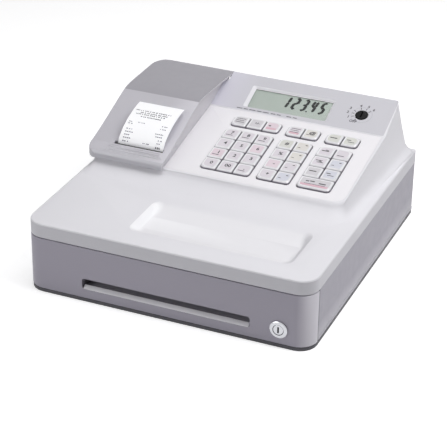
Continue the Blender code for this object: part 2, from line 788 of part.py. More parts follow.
def slot_ribs():
    """Fine grooves across the nose of the cover, below the slot."""
    grooves = []
    for i in range(4):
        y = SLOT_Y - SLOT_FRONT - 3.0 - i * 2.9
        z = cover_height(y) + 0.35
        grooves.append(rod(f"cut_rib_{i}", (PAPER_LEFT - 8.0, y, z), (PAPER_RIGHT - 1.0, y, z), 0.75, sides=6))
    return grooves


def strip(name, line, surface, thick=PAPER_THICK, left=PAPER_LEFT, right=PAPER_RIGHT):
    """A band of paper that follows a line in Y and Z."""
    near, far = [], []
    for i, (y, z) in enumerate(line):
        ay, az = line[max(0, i - 1)]
        by, bz = line[min(len(line) - 1, i + 1)]
        length = math.hypot(by - ay, bz - az)
        ny, nz = -(bz - az) / length, (by - ay) / length
        near.append((y + ny * thick / 2, z + nz * thick / 2))
        far.append((y - ny * thick / 2, z - nz * thick / 2))
    return smooth(along_x(name, near + far[::-1], left, right, surface))


def make_receipt(surface):
    """Printed receipt that stands out of the slot and curls back over the cover."""
    line = (
        (-9.2, 108.8), (-9.0, 111.0), (-8.0, 114.0), (-5.2, 117.7), (-1.0, 121.3), (4.0, 124.7),
        (10.0, 127.9), (17.0, 130.9), (25.0, 133.6), (33.0, 135.8), (41.0, 137.3), (48.5, 138.2),
    )
    return strip("receipt_paper", line, surface)


def make_web(surface):
    """Paper between the roll and the slot, round the underside of the platen."""
    clear = PLATEN_R + 0.45
    line = [(ROLL_Y - 7.0, ROLL_Z - ROLL_R - 0.2), (ROLL_Y - 20.0, ROLL_Z - ROLL_R + 1.9)]
    line += [(30.0, 84.6), (10.0, 88.4)]
    line += [
        (PLATEN_Y + clear * math.cos(turn), PLATEN_Z + clear * math.sin(turn))
        for turn in (math.radians(a) for a in (-82, -98, -114, -130, -146, -162, -176))
    ]
    line += [(-12.35, 100.0), (-12.2, 102.5), (-11.4, 105.2), (-9.6, 107.3)]
    return strip("paper_web", line, surface)


def make_roll(surface):
    """Roll of receipt paper on its core."""
    right = PAPER_RIGHT - 0.5
    roll = rod("paper_roll", (PAPER_LEFT, ROLL_Y, ROLL_Z), (right, ROLL_Y, ROLL_Z), ROLL_R, surface, 36)
    add_bevel(roll, 0.4, 1)
    start, end = ((x, ROLL_Y, ROLL_Z) for x in (PAPER_LEFT - 5.0, right + 5.0))
    cut(roll, rod("cut_core", start, end, CORE_R, sides=18))
    return set_origin(smooth(roll), (PAPER_LEFT, ROLL_Y, ROLL_Z))


def make_works(surface):
    """Printer frame: floor, roll trough, side plates and print head."""
    curve = [
        (TROUGH_Y + r * math.sin(math.radians(a)), TROUGH_Z - r * math.cos(math.radians(a)))
        for r, angles in ((TROUGH_R, range(84, -1, -12)), (TROUGH_R + 2.4, range(0, 85, 12)))
        for a in angles
    ]
    half = len(curve) // 2
    floor = TROUGH_Z - TROUGH_R
    outline = curve[:half] + [(WORKS_FRONT, floor), (WORKS_FRONT, floor - 2.4)] + curve[half:]
    works = along_x("printer_mechanism", outline[::-1], WORKS_LEFT, WORKS_RIGHT, surface)
    side = (
        (WORKS_FRONT, 68.2), (130.0, 68.2), (133.6, 88.0), (133.6, 100.0), (118.0, 100.0), (112.0, 92.0),
        (42.0, 92.0), (37.0, 100.5), (25.0, 100.5), (20.0, 86.0), (-3.0, 82.0), (-12.0, 86.0),
        (WORKS_FRONT, 86.0),
    )
    add(works, along_x("join_left_plate", side, WORKS_LEFT, WORKS_LEFT + 2.0))
    add(works, along_x("join_right_plate", side, WORKS_RIGHT - 1.4, WORKS_RIGHT))
    head = ((WORKS_FRONT, 69.0), (-16.0, 69.0), (-16.0, 88.0), (-14.3, 92.0), (-14.3, 103.0), (-17.0, 105.5),
            (-19.5, 104.0), (WORKS_FRONT, 96.0))
    add(works, along_x("join_head", head, WORKS_LEFT + 1.0, WORKS_RIGHT - 0.5))
    holes = rod("cut_arm_pins", (WORKS_LEFT - 2.0, ARM_Y, ARM_Z), (WORKS_RIGHT + 2.0, ARM_Y, ARM_Z),
                ARM_PIN + 0.4, sides=20)
    return cut(works, holes)


def arm_outline():
    """One cheek of the arm, from its pivot to the hook round the platen's journal."""
    return (
        (ARM_Y - 3.0, ARM_Z - 4.0), (ARM_Y + 3.5, ARM_Z - 3.0), (ARM_Y + 4.0, ARM_Z + 2.5),
        (ARM_Y - 1.0, ARM_Z + 4.5), (PLATEN_Y + 5.0, PLATEN_Z + 7.8), (PLATEN_Y - 3.0, PLATEN_Z + 7.2),
        (PLATEN_Y - 4.6, PLATEN_Z + 2.0), (PLATEN_Y - 3.4, PLATEN_Z - 3.4), (PLATEN_Y + 3.4, PLATEN_Z - 3.6),
        (PLATEN_Y + 10.0, PLATEN_Z - 1.0),
    )


def make_arm(surface):
    """Lifting arm that holds the platen against the print head."""
    left, right = WORKS_LEFT + 2.6, WORKS_RIGHT - 1.8
    arm = along_x("platen_arm", arm_outline(), left, left + 2.2, surface)
    add(arm, along_x("join_right_arm", arm_outline(), right - 1.3, right))
    bridge = (
        (PLATEN_Y - 2.0, PLATEN_Z + 6.7), (PLATEN_Y + 13.0, PLATEN_Z + 5.2),
        (PLATEN_Y + 13.0, PLATEN_Z + 6.8), (PLATEN_Y - 2.0, PLATEN_Z + 7.1),
    )
    add(arm, along_x("join_bridge", bridge, left + 1.0, right - 0.8))
    spans = ((WORKS_LEFT + 0.4, left + 1.0), (right - 0.8, WORKS_RIGHT - 0.4))
    for i, (x0, x1) in enumerate(spans):
        add(arm, rod(f"join_arm_pin_{i}", (x0, ARM_Y, ARM_Z), (x1, ARM_Y, ARM_Z), ARM_PIN, sides=16))
    journals = rod("cut_journals", (left - 3.0, PLATEN_Y, PLATEN_Z), (right + 0.5, PLATEN_Y, PLATEN_Z),
                   JOURNAL_R + GAP, sides=20)
    cut(arm, journals)
    return set_origin(arm, (left, ARM_Y, ARM_Z))


def turned(name, steps, place, surface, sides=28, frame=None):
    """A round piece through steps of (distance, radius) from a point along the local Z of a frame."""
    rings = []
    for w, radius in steps:
        turns = [2.0 * math.pi * i / sides for i in range(sides)]
        rings.append([(place[0] + radius * math.cos(t), place[1] + radius * math.sin(t), w) for t in turns])
    return smooth(loft(name, rings, surface, frame))


def make_platen(surface):
    """Rubber platen with its journals."""
    left, right = WORKS_LEFT + 2.6, WORKS_RIGHT - 1.8
    steps = (
        (left + 0.4, JOURNAL_R), (left + 2.7, JOURNAL_R), (left + 2.8, PLATEN_R),
        (right - 2.1, PLATEN_R), (right - 2.0, JOURNAL_R), (right - 0.3, JOURNAL_R),
    )
    platen = turned("platen_roller", steps, (PLATEN_Y, PLATEN_Z), surface, 28, AXIS_X)
    return set_origin(platen, (left, PLATEN_Y, PLATEN_Z))


def make_case(surface):
    """Grey lower case: two sides, back and roof, with a rail on each side for the drawer."""
    corners = (1.0, 1.0, 1.5, 1.5)
    outline = rounded(-CASE_X, CASE_X, CASE_FRONT, CASE_BACK, corners)
    case = prism("case_body", outline, CASE_BOTTOM, CASE_TOP, surface)
    lip = prism("join_lip", rounded(-HALF_WIDTH, HALF_WIDTH, CASE_FRONT + 0.5, HALF_DEPTH, corners),
                CASE_BOTTOM + 0.5, CASE_BOTTOM + 3.2)
    add(case, lip)
    inside = block("cut_case", (-CASE_X + WALL, CASE_X - WALL), (CASE_FRONT - 5.0, CASE_BACK - WALL),
                   (CASE_BOTTOM - 5.0, CASE_TOP - WALL))
    cut(case, inside)
    across = (-CASE_X + 1.0, -DRAWER_X - 0.8)
    front = CASE_FRONT + 2.0
    rail = block("join_rail", across, (front, 160.0), (RAIL_Z, RAIL_Z + 3.0))
    stop = block("join_stop", across, (front, front + 4.0), (RAIL_Z + 1.0, RAIL_Z + 9.0))
    far = -sum(across)
    add(case, repeat(rail, 2, (far, 0.0, 0.0)), repeat(stop, 2, (far, 0.0, 0.0)))
    cut(case, rod("cut_gland", (GLAND_X, 160.0, GLAND_Z), (GLAND_X, 180.0, GLAND_Z), GLAND_R + GAP))
    vent = block("cut_vent", (-140.0, -110.0), (160.0, 180.0), (40.0, 42.0))
    cut(case, repeat(vent, 5, (0.0, 0.0, 4.0)))
    return case


def make_base(surface):
    """Dark base plate with its four feet and the slot of the release lever."""
    corners = (FRONT_CORNER - 0.5, FRONT_CORNER - 0.5, BACK_CORNER, BACK_CORNER)
    base = slab("base_pan", (-BASE_X, BASE_X, -HALF_DEPTH + 0.3, CASE_BACK), BASE_BOTTOM, 4.3, corners, 0.5,
                surface, steps=5)
    foot = rod("join_foot", (-FOOT_XY, -FOOT_XY, 0.0), (-FOOT_XY, -FOOT_XY, 2.6), FOOT_R, sides=20)
    repeat(foot, 2, (2.0 * FOOT_XY, 0.0, 0.0))
    repeat(foot, 2, (0.0, 2.0 * FOOT_XY, 0.0))
    add(base, foot)
    return cut(base, block("cut_lever_slot", (-52.0, -28.0), (155.5, 164.5), (0.0, 10.0)))


def make_lever(surface):
    """Sliding lever reached from below that lets the drawer go."""
    lever = block("release_lever", (-62.0, -22.0), (153.5, 166.5), (4.7, 6.6), surface, 0.3)
    tab = block("join_tab", (-50.5, -40.5), (157.0, 163.0), (1.0, 5.5))
    arm = block("join_hook", (-26.0, -23.0), (153.5, 160.0), (6.0, 30.0))
    return set_origin(add(lever, tab, arm), (-45.5, 160.0, 4.7))


def make_drawer_front(surface):
    """Grey drawer front that wraps the corners, with its finger slot and lock boss."""
    corners = (FRONT_CORNER, FRONT_CORNER, 0.5, 0.5)
    outline = rounded(-HALF_WIDTH, HALF_WIDTH, -HALF_DEPTH, FACE_RETURN, corners, 7)
    front = prism("drawer_front", outline, FACE_BOTTOM, FACE_TOP, surface)
    add_bevel(front, 1.0, 2).angle_limit = math.radians(50.0)
    inner = HALF_WIDTH - FACE_WALL
    corners = (FRONT_CORNER - FACE_WALL, FRONT_CORNER - FACE_WALL, 0.5, 0.5)
    outline = rounded(-inner, inner, -HALF_DEPTH + FACE_WALL, FACE_RETURN + 20.0, corners, 7)
    inside = prism("cut_front_inside", outline, FACE_BOTTOM + FACE_WALL, FACE_TOP - FACE_WALL)
    mouth = block("cut_front_back", (-inner, inner), (-156.0, -140.0), (0.0, 70.0))
    cut(front, inside, mouth)
    pocket = block("join_pocket", (-HANDLE_HALF - 2.2, HANDLE_HALF + 2.2), (-HALF_DEPTH + 1.0, -157.0),
                   (HANDLE_LOW - 2.2, HANDLE_HIGH + 10.0))
    boss = rod("join_lock_boss", (LOCK_X, -171.0, LOCK_Z), (LOCK_X, -162.0, LOCK_Z), LOCK_R + 2.6)
    add(front, pocket, boss, *front_bosses())
    outline = rounded(-HANDLE_HALF, HANDLE_HALF, HANDLE_LOW, HANDLE_HIGH, 3.0, 3)
    mouth_slot = prism("cut_handle", outline, HALF_DEPTH - 13.0, HALF_DEPTH + 1.0, frame=AXIS_FRONT)
    behind = block("cut_finger_room", (-HANDLE_HALF + 0.5, HANDLE_HALF - 0.5),
                   (-HALF_DEPTH + FACE_WALL, -159.2), (HANDLE_LOW + 0.8, HANDLE_HIGH + 7.6))
    lock_hole = rod("cut_lock_hole", (LOCK_X, -180.0, LOCK_Z), (LOCK_X, -150.0, LOCK_Z), LOCK_R + GAP,
                    sides=32)
    return cut(front, mouth_slot, behind, lock_hole)


def front_bosses():
    """Posts that carry the front on the drawer box."""
    posts = []
    for i, (x, z) in enumerate(((-140.0, 22.0), (-140.0, 48.0), (140.0, 48.0))):
        posts.append(rod(f"join_post_{i}", (x, -170.5, z), (x, DRAWER_FRONT_Y - GAP, z), 4.0, sides=16))
    return posts


def make_lock_barrel(surface):
    """Chrome lock body with its proud rim."""
    rim = LOCK_R + 0.9
    steps = ((157.5, LOCK_R), (172.6, LOCK_R), (172.9, rim), (173.9, rim), (174.5, LOCK_R))
    barrel = turned("lock_barrel", steps, (LOCK_X, LOCK_Z), surface, 30, AXIS_FRONT)
    bore = rod("cut_plug_bore", (LOCK_X, -180.0, LOCK_Z), (LOCK_X, -150.0, LOCK_Z), PLUG_R + GAP, sides=28)
    return cut(barrel, bore)


def make_lock_rotor(surface):
    """Turning plug with its keyhole and the cam behind the front."""
    steps = ((153.6, 3.5), (156.6, 3.5), (157.0, PLUG_R), (174.0, PLUG_R), (174.4, PLUG_R - 0.4))
    rotor = turned("lock_rotor", steps, (LOCK_X, LOCK_Z), surface, 28, AXIS_FRONT)
    cam = block("join_cam", (LOCK_X - 26.0, LOCK_X + 5.0), (-156.6, -154.6),
                (LOCK_Z - 4.5, LOCK_Z + 4.5), edge=1.0)
    keyhole = block("cut_keyhole", (LOCK_X - 0.9, LOCK_X + 0.9), (-180.0, -164.0),
                    (LOCK_Z - 3.6, LOCK_Z + 3.6))
    add(rotor, cam)
    cut(rotor, keyhole)
    return set_origin(rotor, (LOCK_X, -160.0, LOCK_Z))


def make_drawer(surface):
    """Drawer box with three note bays, a seat for the coin tray and its runners."""
    outline = rounded(-DRAWER_X, DRAWER_X, DRAWER_FRONT_Y, DRAWER_BACK_Y, 2.0, 2)
    drawer = prism("drawer_body", outline, DRAWER_BOTTOM, DRAWER_TOP, surface)
    runner = block("join_runner", (-DRAWER_X - 4.6, -DRAWER_X + 1.0), (62.0, 148.0),
                   (RAIL_Z + 3.4, RAIL_Z + 5.6))
    add(drawer, repeat(runner, 2, (2.0 * DRAWER_X + 3.6, 0.0, 0.0)))
    outline = rounded(-DRAWER_X + WALL, DRAWER_X - WALL, -150.0, -57.0, 1.5, 2)
    coins = prism("cut_coin_seat", outline, DRAWER_BOTTOM + 2.0, 70.0)
    outline = rounded(CLIP_XS[0] - NOTE_WIDTH / 2, CLIP_XS[0] + NOTE_WIDTH / 2, -54.5, 147.5, 2.0, 2)
    notes = prism("cut_note_bay", outline, DRAWER_BOTTOM + 2.0, 70.0)
    cut(drawer, coins, repeat(notes, 3, (CLIP_XS[1] - CLIP_XS[0], 0.0, 0.0)))
    left = CLIP_XS[0]
    pitch = CLIP_XS[1] - left
    lug = block("join_clip_lug", (left - 19.6, left - 16.6), (CLIP_Y - 4.0, 148.5),
                (CLIP_Z - 4.0, CLIP_Z + 4.0))
    repeat(lug, 2, (36.2, 0.0, 0.0))
    add(drawer, repeat(lug, 3, (pitch, 0.0, 0.0)))
    hole = rod("cut_clip_pin", (left - 18.4, CLIP_Y, CLIP_Z), (left + 18.4, CLIP_Y, CLIP_Z),
               CLIP_PIN + 0.3, sides=16)
    return cut(drawer, repeat(hole, 3, (pitch, 0.0, 0.0)))


def make_clip(number, x, surface):
    """Note clip: a plate on a cross pin that rests on the notes."""
    bends = ((2.0, 1.6), (-2.0, 1.4), (-20.0, -5.2), (-40.0, -13.2), (-44.0, -13.9), (-49.0, -10.6))
    line = [(CLIP_Y + y, CLIP_Z + z) for y, z in bends]
    clip = strip(f"note_clip_{number}", line, surface, 1.6, x - 13.0, x + 13.0)
    for kind, half, radius in (("barrel", 15.9, 3.0), ("pin", 18.0, CLIP_PIN)):
        name = f"join_clip_{kind}_{number}"
        add(clip, rod(name, (x - half, CLIP_Y, CLIP_Z), (x + half, CLIP_Y, CLIP_Z), radius, sides=16))
    return set_origin(clip, (x, CLIP_Y, CLIP_Z))


def make_coin_tray(surface):
    """Lift-out tray with eight scooped coin cups."""
    box = (-152.6, 152.6, -149.2, -57.8)
    tray = slab("coin_tray", box, DRAWER_BOTTOM + 2.4, 53.0, (1.4,) * 4, 0.8, surface, steps=2)
    rings = []
    for z, inset in ((12.6, 11.0), (14.4, 6.0), (18.0, 2.4), (23.5, 0.4), (60.0, 0.0)):
        radius = max(2.0, 8.0 - inset * 0.5)
        ring = rounded(-150.2 + inset, -78.6 - inset, -147.0 + inset, -105.2 - inset, radius, 3)
        rings.append(at_height(ring, z))
    cup = loft("cut_cups", rings)
    repeat(cup, 4, (76.2, 0.0, 0.0))
    return cut(tray, repeat(cup, 2, (0.0, 45.2, 0.0)))


def make_gland(surface):
    """Cable inlet at the back of the case."""
    steps = ((-174.5, 7.6), (-174.0, 8.5), (-172.9, 8.5), (-172.4, GLAND_R), (-166.5, GLAND_R))
    gland = turned("cord_gland", steps, (GLAND_X, GLAND_Z), surface, 28, AXIS_FRONT)
    bore = rod("cut_cord_hole", (GLAND_X, 160.0, GLAND_Z), (GLAND_X, 180.0, GLAND_Z), 3.4, sides=20)
    return cut(gland, bore)


def make_control_board(surface):
    """Main circuit board on the roof of the case, with its power block and connectors."""
    board = block("control_board", (-45.0, 135.0), (-10.0, 128.0), (70.2, 71.8), surface)
    post = rod("join_post", (-38.0, -3.0, CASE_TOP + 0.3), (-38.0, -3.0, 71.0), 3.0, sides=12)
    repeat(post, 2, (166.0, 0.0, 0.0))
    repeat(post, 2, (0.0, 124.0, 0.0))
    parts = [post]
    places = (
        ((88.0, 128.0), (80.0, 118.0), (71.0, 98.0)),
        ((-30.0, -2.0), (70.0, 98.0), (71.0, 76.5)),
        ((10.0, 38.0), (40.0, 68.0), (71.0, 74.6)),
        ((48.0, 74.0), (92.0, 104.0), (71.0, 84.0)),
        ((-12.0, 20.0), (4.0, 12.0), (71.0, 78.0)),
    )
    for i, (x, y, z) in enumerate(places):
        parts.append(block(f"join_component_{i}", x, y, z))
    return add(board, *parts)


def build():
    clear_scene()
    white = material("white_plastic", (0.79, 0.79, 0.81), 0.42)
    panel_white = material("panel_white", (0.83, 0.83, 0.85), 0.38)
    grey = material("grey_plastic", (0.42, 0.41, 0.45), 0.45)
    cover_grey = material("cover_grey", (0.45, 0.44, 0.48), 0.40)
    black = material("black_plastic", (0.02, 0.02, 0.022), 0.45)
    dark = material("dark_base", (0.045, 0.045, 0.05), 0.6)
    key_clear = material("key_cap", (0.70, 0.64, 0.70), 0.15)
    lens = material("display_lens", (0.75, 0.80, 0.77), 0.05, IOR=1.49)
    lcd = material("lcd_glass", (0.34, 0.41, 0.36), 0.2)
    chrome = material("chrome", (0.62, 0.62, 0.64), 0.12, 1.0)
    steel = material("steel", (0.42, 0.42, 0.44), 0.35, 1.0)
    rubber = material("rubber", (0.03, 0.03, 0.03), 0.7)
    paper = material("paper", (0.86, 0.86, 0.88), 0.8)
    tray_grey = material("tray_plastic", (0.10, 0.10, 0.11), 0.5)
    green = material("circuit_board", (0.02, 0.13, 0.05), 0.4)
    make_cabinet(white)
    make_panel(panel_white)
    make_key_board(green)
    for name, x, v, half, corners in key_places():
        make_key(name, x, v, half, corners, key_clear)
    make_window(lens)
    make_lcd(lcd)
    make_switch(black)
    make_cover(cover_grey)
    make_works(black)
    make_arm(steel)
    make_platen(rubber)
    make_roll(paper)
    make_web(paper)
    make_receipt(paper)
    make_case(grey)
    make_base(dark)
    make_lever(steel)
    make_drawer(tray_grey)
    make_drawer_front(grey)
    make_coin_tray(tray_grey)
    for number, x in enumerate(CLIP_XS, 1):
        make_clip(number, x, black)
    make_lock_barrel(chrome)
    make_lock_rotor(chrome)
    make_gland(black)
    make_control_board(green)


build()
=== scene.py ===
# %% [markdown]
# A small electronic till: a white upper cabinet with keys, display and receipt printer, standing on a grey
# case with a locking cash drawer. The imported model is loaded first. It is the fixed frame that every other
# piece is measured from, so nothing in it is moved.

# %% Load the frame
import json
import math
import random

import bpy
import bmesh
from mathutils import Matrix, Vector


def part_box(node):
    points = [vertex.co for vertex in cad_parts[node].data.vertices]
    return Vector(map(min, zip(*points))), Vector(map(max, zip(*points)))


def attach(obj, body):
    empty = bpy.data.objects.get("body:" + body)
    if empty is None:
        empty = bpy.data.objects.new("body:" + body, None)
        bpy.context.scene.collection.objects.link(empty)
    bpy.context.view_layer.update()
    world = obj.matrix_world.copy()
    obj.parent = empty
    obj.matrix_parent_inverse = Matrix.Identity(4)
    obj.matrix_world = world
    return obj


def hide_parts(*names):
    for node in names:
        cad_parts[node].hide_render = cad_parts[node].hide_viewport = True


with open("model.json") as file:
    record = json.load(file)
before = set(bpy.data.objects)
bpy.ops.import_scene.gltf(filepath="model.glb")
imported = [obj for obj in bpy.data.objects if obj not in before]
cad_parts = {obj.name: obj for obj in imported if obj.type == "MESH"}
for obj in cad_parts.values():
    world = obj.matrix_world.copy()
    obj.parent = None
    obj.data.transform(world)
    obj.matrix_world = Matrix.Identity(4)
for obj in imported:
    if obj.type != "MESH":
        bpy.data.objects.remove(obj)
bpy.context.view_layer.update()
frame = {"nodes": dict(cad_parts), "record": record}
nodes = frame["nodes"]
bodies = frame["record"]["behaviour"]["bodies"]
MM = 0.001

# %% [markdown]
# The camera comes first, because everything is judged through it. The photo was taken with a long lens from
# the front right and above, about 28 degrees over the table. A long lens keeps the far edges of the till
# almost parallel to the near ones. The place and the lens were worked out from corners whose size is known.

# %% Camera
CAMERA_PLACE = Vector((640.574, -1551.763, 932.726)) * MM
CAMERA_TURN = math.radians(22.6098)
CAMERA_TILT = math.radians(28.22005)
CAMERA_ROLL = math.radians(0.87575)
CAMERA_LENS = 135.575

camera_data = bpy.data.cameras.new("photo_camera")
camera_data.lens = CAMERA_LENS
camera_data.clip_end = 30.0
camera = bpy.data.objects.new("photo_camera", camera_data)
bpy.context.scene.collection.objects.link(camera)
turned = Matrix.Rotation(CAMERA_TURN, 4, "Z") @ Matrix.Rotation(math.radians(90.0) - CAMERA_TILT, 4, "X")
camera.matrix_world = Matrix.Translation(CAMERA_PLACE) @ turned @ Matrix.Rotation(CAMERA_ROLL, 4, "Z")
bpy.context.scene.camera = camera
bpy.context.scene.view_settings.view_transform = "Standard"
print("camera", [round(c, 3) for c in camera.location])

# %% [markdown]
# Product photos of white goods are lit softly, so that no edge burns out. One large soft lamp hangs over
# the till. A stronger one hangs to its right, because the right side is brighter than the front. A third
# stands in front, on the left, and lifts the slopes and the drawer's face. The background is white only for
# camera, mirror and clear rays, so it adds hardly any light to the object.

# %% Lamps
TOP_POWER = 9.6
RIGHT_POWER = 13.9
FRONT_POWER = 7.2


def area_lamp(name, place, aim, size, power):
    """A soft rectangular lamp that faces a point."""
    data = bpy.data.lights.new(name, "AREA")
    data.shape = "RECTANGLE"
    data.size, data.size_y = size
    data.energy = power
    lamp = bpy.data.objects.new(name, data)
    lamp.location = place
    lamp.rotation_euler = (Vector(aim) - Vector(place)).to_track_quat("-Z", "Y").to_euler()
    bpy.context.scene.collection.objects.link(lamp)
    return lamp


area_lamp("overhead_softbox", (0.0, -0.1, 1.6), (0.0, 0.0, 0.08), (0.9, 0.9), TOP_POWER)
area_lamp("overhead_right_softbox", (0.9, 0.1, 1.3), (0.0, 0.0, 0.08), (0.9, 0.9), RIGHT_POWER)
area_lamp("front_left_softbox", (-0.9, -1.3, 0.8), (0.0, 0.0, 0.06), (1.0, 0.9), FRONT_POWER)

# %% Background
FILL = 0.03


def linear(code, alpha=1.0):
    """An sRGB hex colour as the linear colour that a shader takes."""
    parts = [int(code[i:i + 2], 16) / 255.0 for i in (0, 2, 4)]
    return tuple(p / 12.92 if p <= 0.04045 else ((p + 0.055) / 1.055) ** 2.4 for p in parts) + (alpha,)


def add_node(tree, kind, inputs=None, **settings):
    """Adds a node with its settings; an input is a value or the socket that feeds it."""
    node = tree.nodes.new(kind)
    for name, value in settings.items():
        setattr(node, name, value)
    for socket, value in (inputs or {}).items():
        if isinstance(value, bpy.types.NodeSocket):
            tree.links.new(value, node.inputs[socket])
        else:
            node.inputs[socket].default_value = value
    return node


def seen_directly(tree):
    """1 for camera, mirror and clear rays, and 0 for the light that falls on things."""
    path = add_node(tree, "ShaderNodeLightPath")
    some = add_node(tree, "ShaderNodeMath", {
        0: path.outputs["Is Camera Ray"], 1: path.outputs["Is Glossy Ray"]}, operation="MAXIMUM")
    return add_node(tree, "ShaderNodeMath", {0: some.outputs[0], 1: path.outputs["Is Transmission Ray"]},
                    operation="MAXIMUM").outputs[0]


world = bpy.data.worlds.new("studio")
bpy.context.scene.world = world
world.use_nodes = True
sky = world.node_tree.nodes["Background"]
sky.inputs["Color"].default_value = linear("FFFFFF")
strength = add_node(world.node_tree, "ShaderNodeMapRange", {
    "Value": seen_directly(world.node_tree), "To Min": FILL, "To Max": 1.0})
world.node_tree.links.new(strength.outputs["Result"], sky.inputs["Strength"])
print("background", world.name)

# %% [markdown]
# The till stands on a seamless pale sheet. It is a plain plane, lifted to white where the camera looks at it,
# so the ground has no visible end, while the soft shadow under the till stays.

# %% Floor
FLOOR_LIFT = 0.55
FLOOR_SIZE = 8.0
FLOOR_GAP = 0.0002


def coat(piece, material):
    """Gives a piece one material and no other."""
    piece.data.materials.clear()
    piece.data.materials.append(material)


def select_only(*objects):
    """Deselects all, then selects these and makes the first one active."""
    for obj in list(bpy.context.selected_objects):
        obj.select_set(False)
    for obj in objects:
        obj.select_set(True)
    bpy.context.view_layer.objects.active = objects[0] if objects else None


def new_material(name, colour, roughness, **sockets):
    """A Principled material; its sockets are given with _ for a space."""
    made = bpy.data.materials.new(name)
    made.use_nodes = True
    shader = made.node_tree.nodes["Principled BSDF"]
    shader.inputs["Base Color"].default_value = linear(colour)
    shader.inputs["Roughness"].default_value = roughness
    for socket, value in sockets.items():
        shader.inputs[socket.replace("_", " ")].default_value = value
    made.diffuse_color = linear(colour)
    return made, made.node_tree, shader


def own_place(tree):
    """The place on the piece, as its own coordinates say."""
    return add_node(tree, "ShaderNodeTexCoord").outputs["Object"]


def clouds(tree, size, detail):
    """Noise in clouds of a size in mm."""
    return add_node(tree, "ShaderNodeTexNoise", {
        "Vector": own_place(tree), "Scale": 1.0 / (size * MM), "Detail": detail}).outputs["Fac"]


def mix_base(tree, share, low, high):
    """Makes the base colour a mix of two."""
    tint = add_node(tree, "ShaderNodeMix", {0: share, 6: low, 7: high}, data_type="RGBA")
    tree.links.new(tint.outputs[2], tree.nodes["Principled BSDF"].inputs["Base Color"])


def mottled(tree, low, high, size, detail=2.0):
    """Lets the colour drift between two near ones in clouds, which it gives back."""
    cloud = clouds(tree, size, detail)
    mix_base(tree, cloud, linear(low), linear(high))
    return cloud


select_only()
bpy.ops.mesh.primitive_plane_add(size=FLOOR_SIZE, location=(0.0, 0.0, -FLOOR_GAP))
floor = bpy.context.object
floor.name = "floor_sheet"
floor_paper, tree, shader = new_material("matt_paper_sheet", "E7E7E8", 0.9, Specular_IOR_Level=0.2)
mottled(tree, "E6E6E7", "E8E8E9", 4.0)
shader.inputs["Emission Color"].default_value = linear("FFFFFF")
lift = add_node(tree, "ShaderNodeMath", {0: seen_directly(tree), 1: FLOOR_LIFT}, operation="MULTIPLY")
tree.links.new(lift.outputs[0], shader.inputs["Emission Strength"])
coat(floor, floor_paper)
print("floor", floor.name)

# %% [markdown]
# Most of the till is injection-moulded ABS. Its tool was spark eroded, so the surface is a fine pebble that
# breaks a reflection into a soft sheen. The real grain is about 0.1 mm, too fine for the picture, so it is
# drawn at 0.5 mm or more. A slow drift of colour and gloss stands for handling and for how plastic flows.
# A Bevel node turns the normals at the last third of a millimetre of each edge, as a moulded edge does.

# %% Moulded plastics


def moulded(name, low, high, roughness, grain=0.6, depth=0.012, edge=0.35, **sockets):
    """Moulded plastic between two near colours, with a pebbled grain; grain, depth and edge are in mm."""
    made, tree, shader = new_material(name, low, roughness, **sockets)
    mottled(tree, low, high, 70.0, 3.0)
    gloss = add_node(tree, "ShaderNodeMapRange", {
        "Value": clouds(tree, 9.0, 4.0), "From Min": 0.3, "From Max": 0.7,
        "To Min": roughness - 0.05, "To Max": roughness + 0.06})
    tree.links.new(gloss.outputs["Result"], shader.inputs["Roughness"])
    round_edge = add_node(tree, "ShaderNodeBevel", {"Radius": edge * MM}, samples=4)
    bump = add_node(tree, "ShaderNodeBump", {
        "Height": clouds(tree, grain, 1.0), "Distance": depth * MM, "Strength": 0.6,
        "Normal": round_edge.outputs[0]})
    tree.links.new(bump.outputs["Normal"], shader.inputs["Normal"])
    return made


# White ABS with a cool cast: bright, satin, never glossy.
white_abs = moulded("abs_white_spark_eroded", "E0DFE4", "E3E2E7", 0.52, Specular_IOR_Level=0.4)
# The keyboard panel is the same plastic from a finer tool, so it is a little smoother.
panel_abs = moulded("abs_white_fine_grain", "E9E7EB", "ECEAEE", 0.46, grain=0.5, depth=0.008)
# The white wall between the keys and the printer is painted a light grey, as painted shade beside the cover.
wall_light_and_shade_abs = moulded("abs_wall_painted_light_and_shade", "CFCDD2", "D2D0D5", 0.5)
# The white skirt below the deck is painted the same grey, a little lighter, as painted shade on its upright
# faces.
skirt_shade_abs = moulded("abs_white_skirt_painted_shade", "D1D0D6", "D4D3D9", 0.5)
# The hollow in the deck is the same white, a little smoother, because its mould was polished there.
tray_abs = moulded("abs_white_coin_hollow", "E0DFE4", "E3E2E7", 0.48, Specular_IOR_Level=0.4)
# Case and drawer are lavender grey, flat and slightly duller, which hides scuffs from coins and keys.
front_abs = moulded("abs_lavender_grey_drawer", "A4A0AD", "A8A4B0", 0.46, grain=0.7)
case_abs = moulded("abs_lavender_grey_case", "9A97A3", "9E9BA6", 0.46, grain=0.7)
# The finger room behind the drawer's slot is the same plastic, a little rougher, and painted darker as shade
# in the recess.
slot_shade_abs = moulded("abs_lavender_grey_slot_painted_shade", "8A8790", "928F98", 0.6, grain=0.8)
# The lip of the slot is painted pale, as painted light.
lip_light_abs = moulded("abs_lavender_grey_lip_painted_light", "E8E6EC", "ECEAF0", 0.4, grain=0.7)
# The printer cover is a neutral grey with the same grain.
cover_abs = moulded("abs_cover_grey", "B9B7BE", "BDBBC2", 0.46)
# Its flat top is painted a shade darker, as painted shade, and its front lip a shade lighter, as painted
# light.
cover_top_shade_abs = moulded("abs_cover_grey_top_painted_shade", "9B99A0", "9F9DA4", 0.46)
cover_lip_light_abs = moulded("abs_cover_grey_lip_painted_light", "C4C3C9", "C8C7CD", 0.46)
# The base is dark ABS that is hardly seen but frames the foot of the till.
base_abs = moulded("abs_dark_base", "4A494F", "4E4D53", 0.55, grain=0.8)
# The drawer box and coin tray are dark polystyrene, rubbed by coins.
tray_styrene = moulded("polystyrene_drawer_grey", "55555A", "5A5A5F", 0.48, depth=0.015)
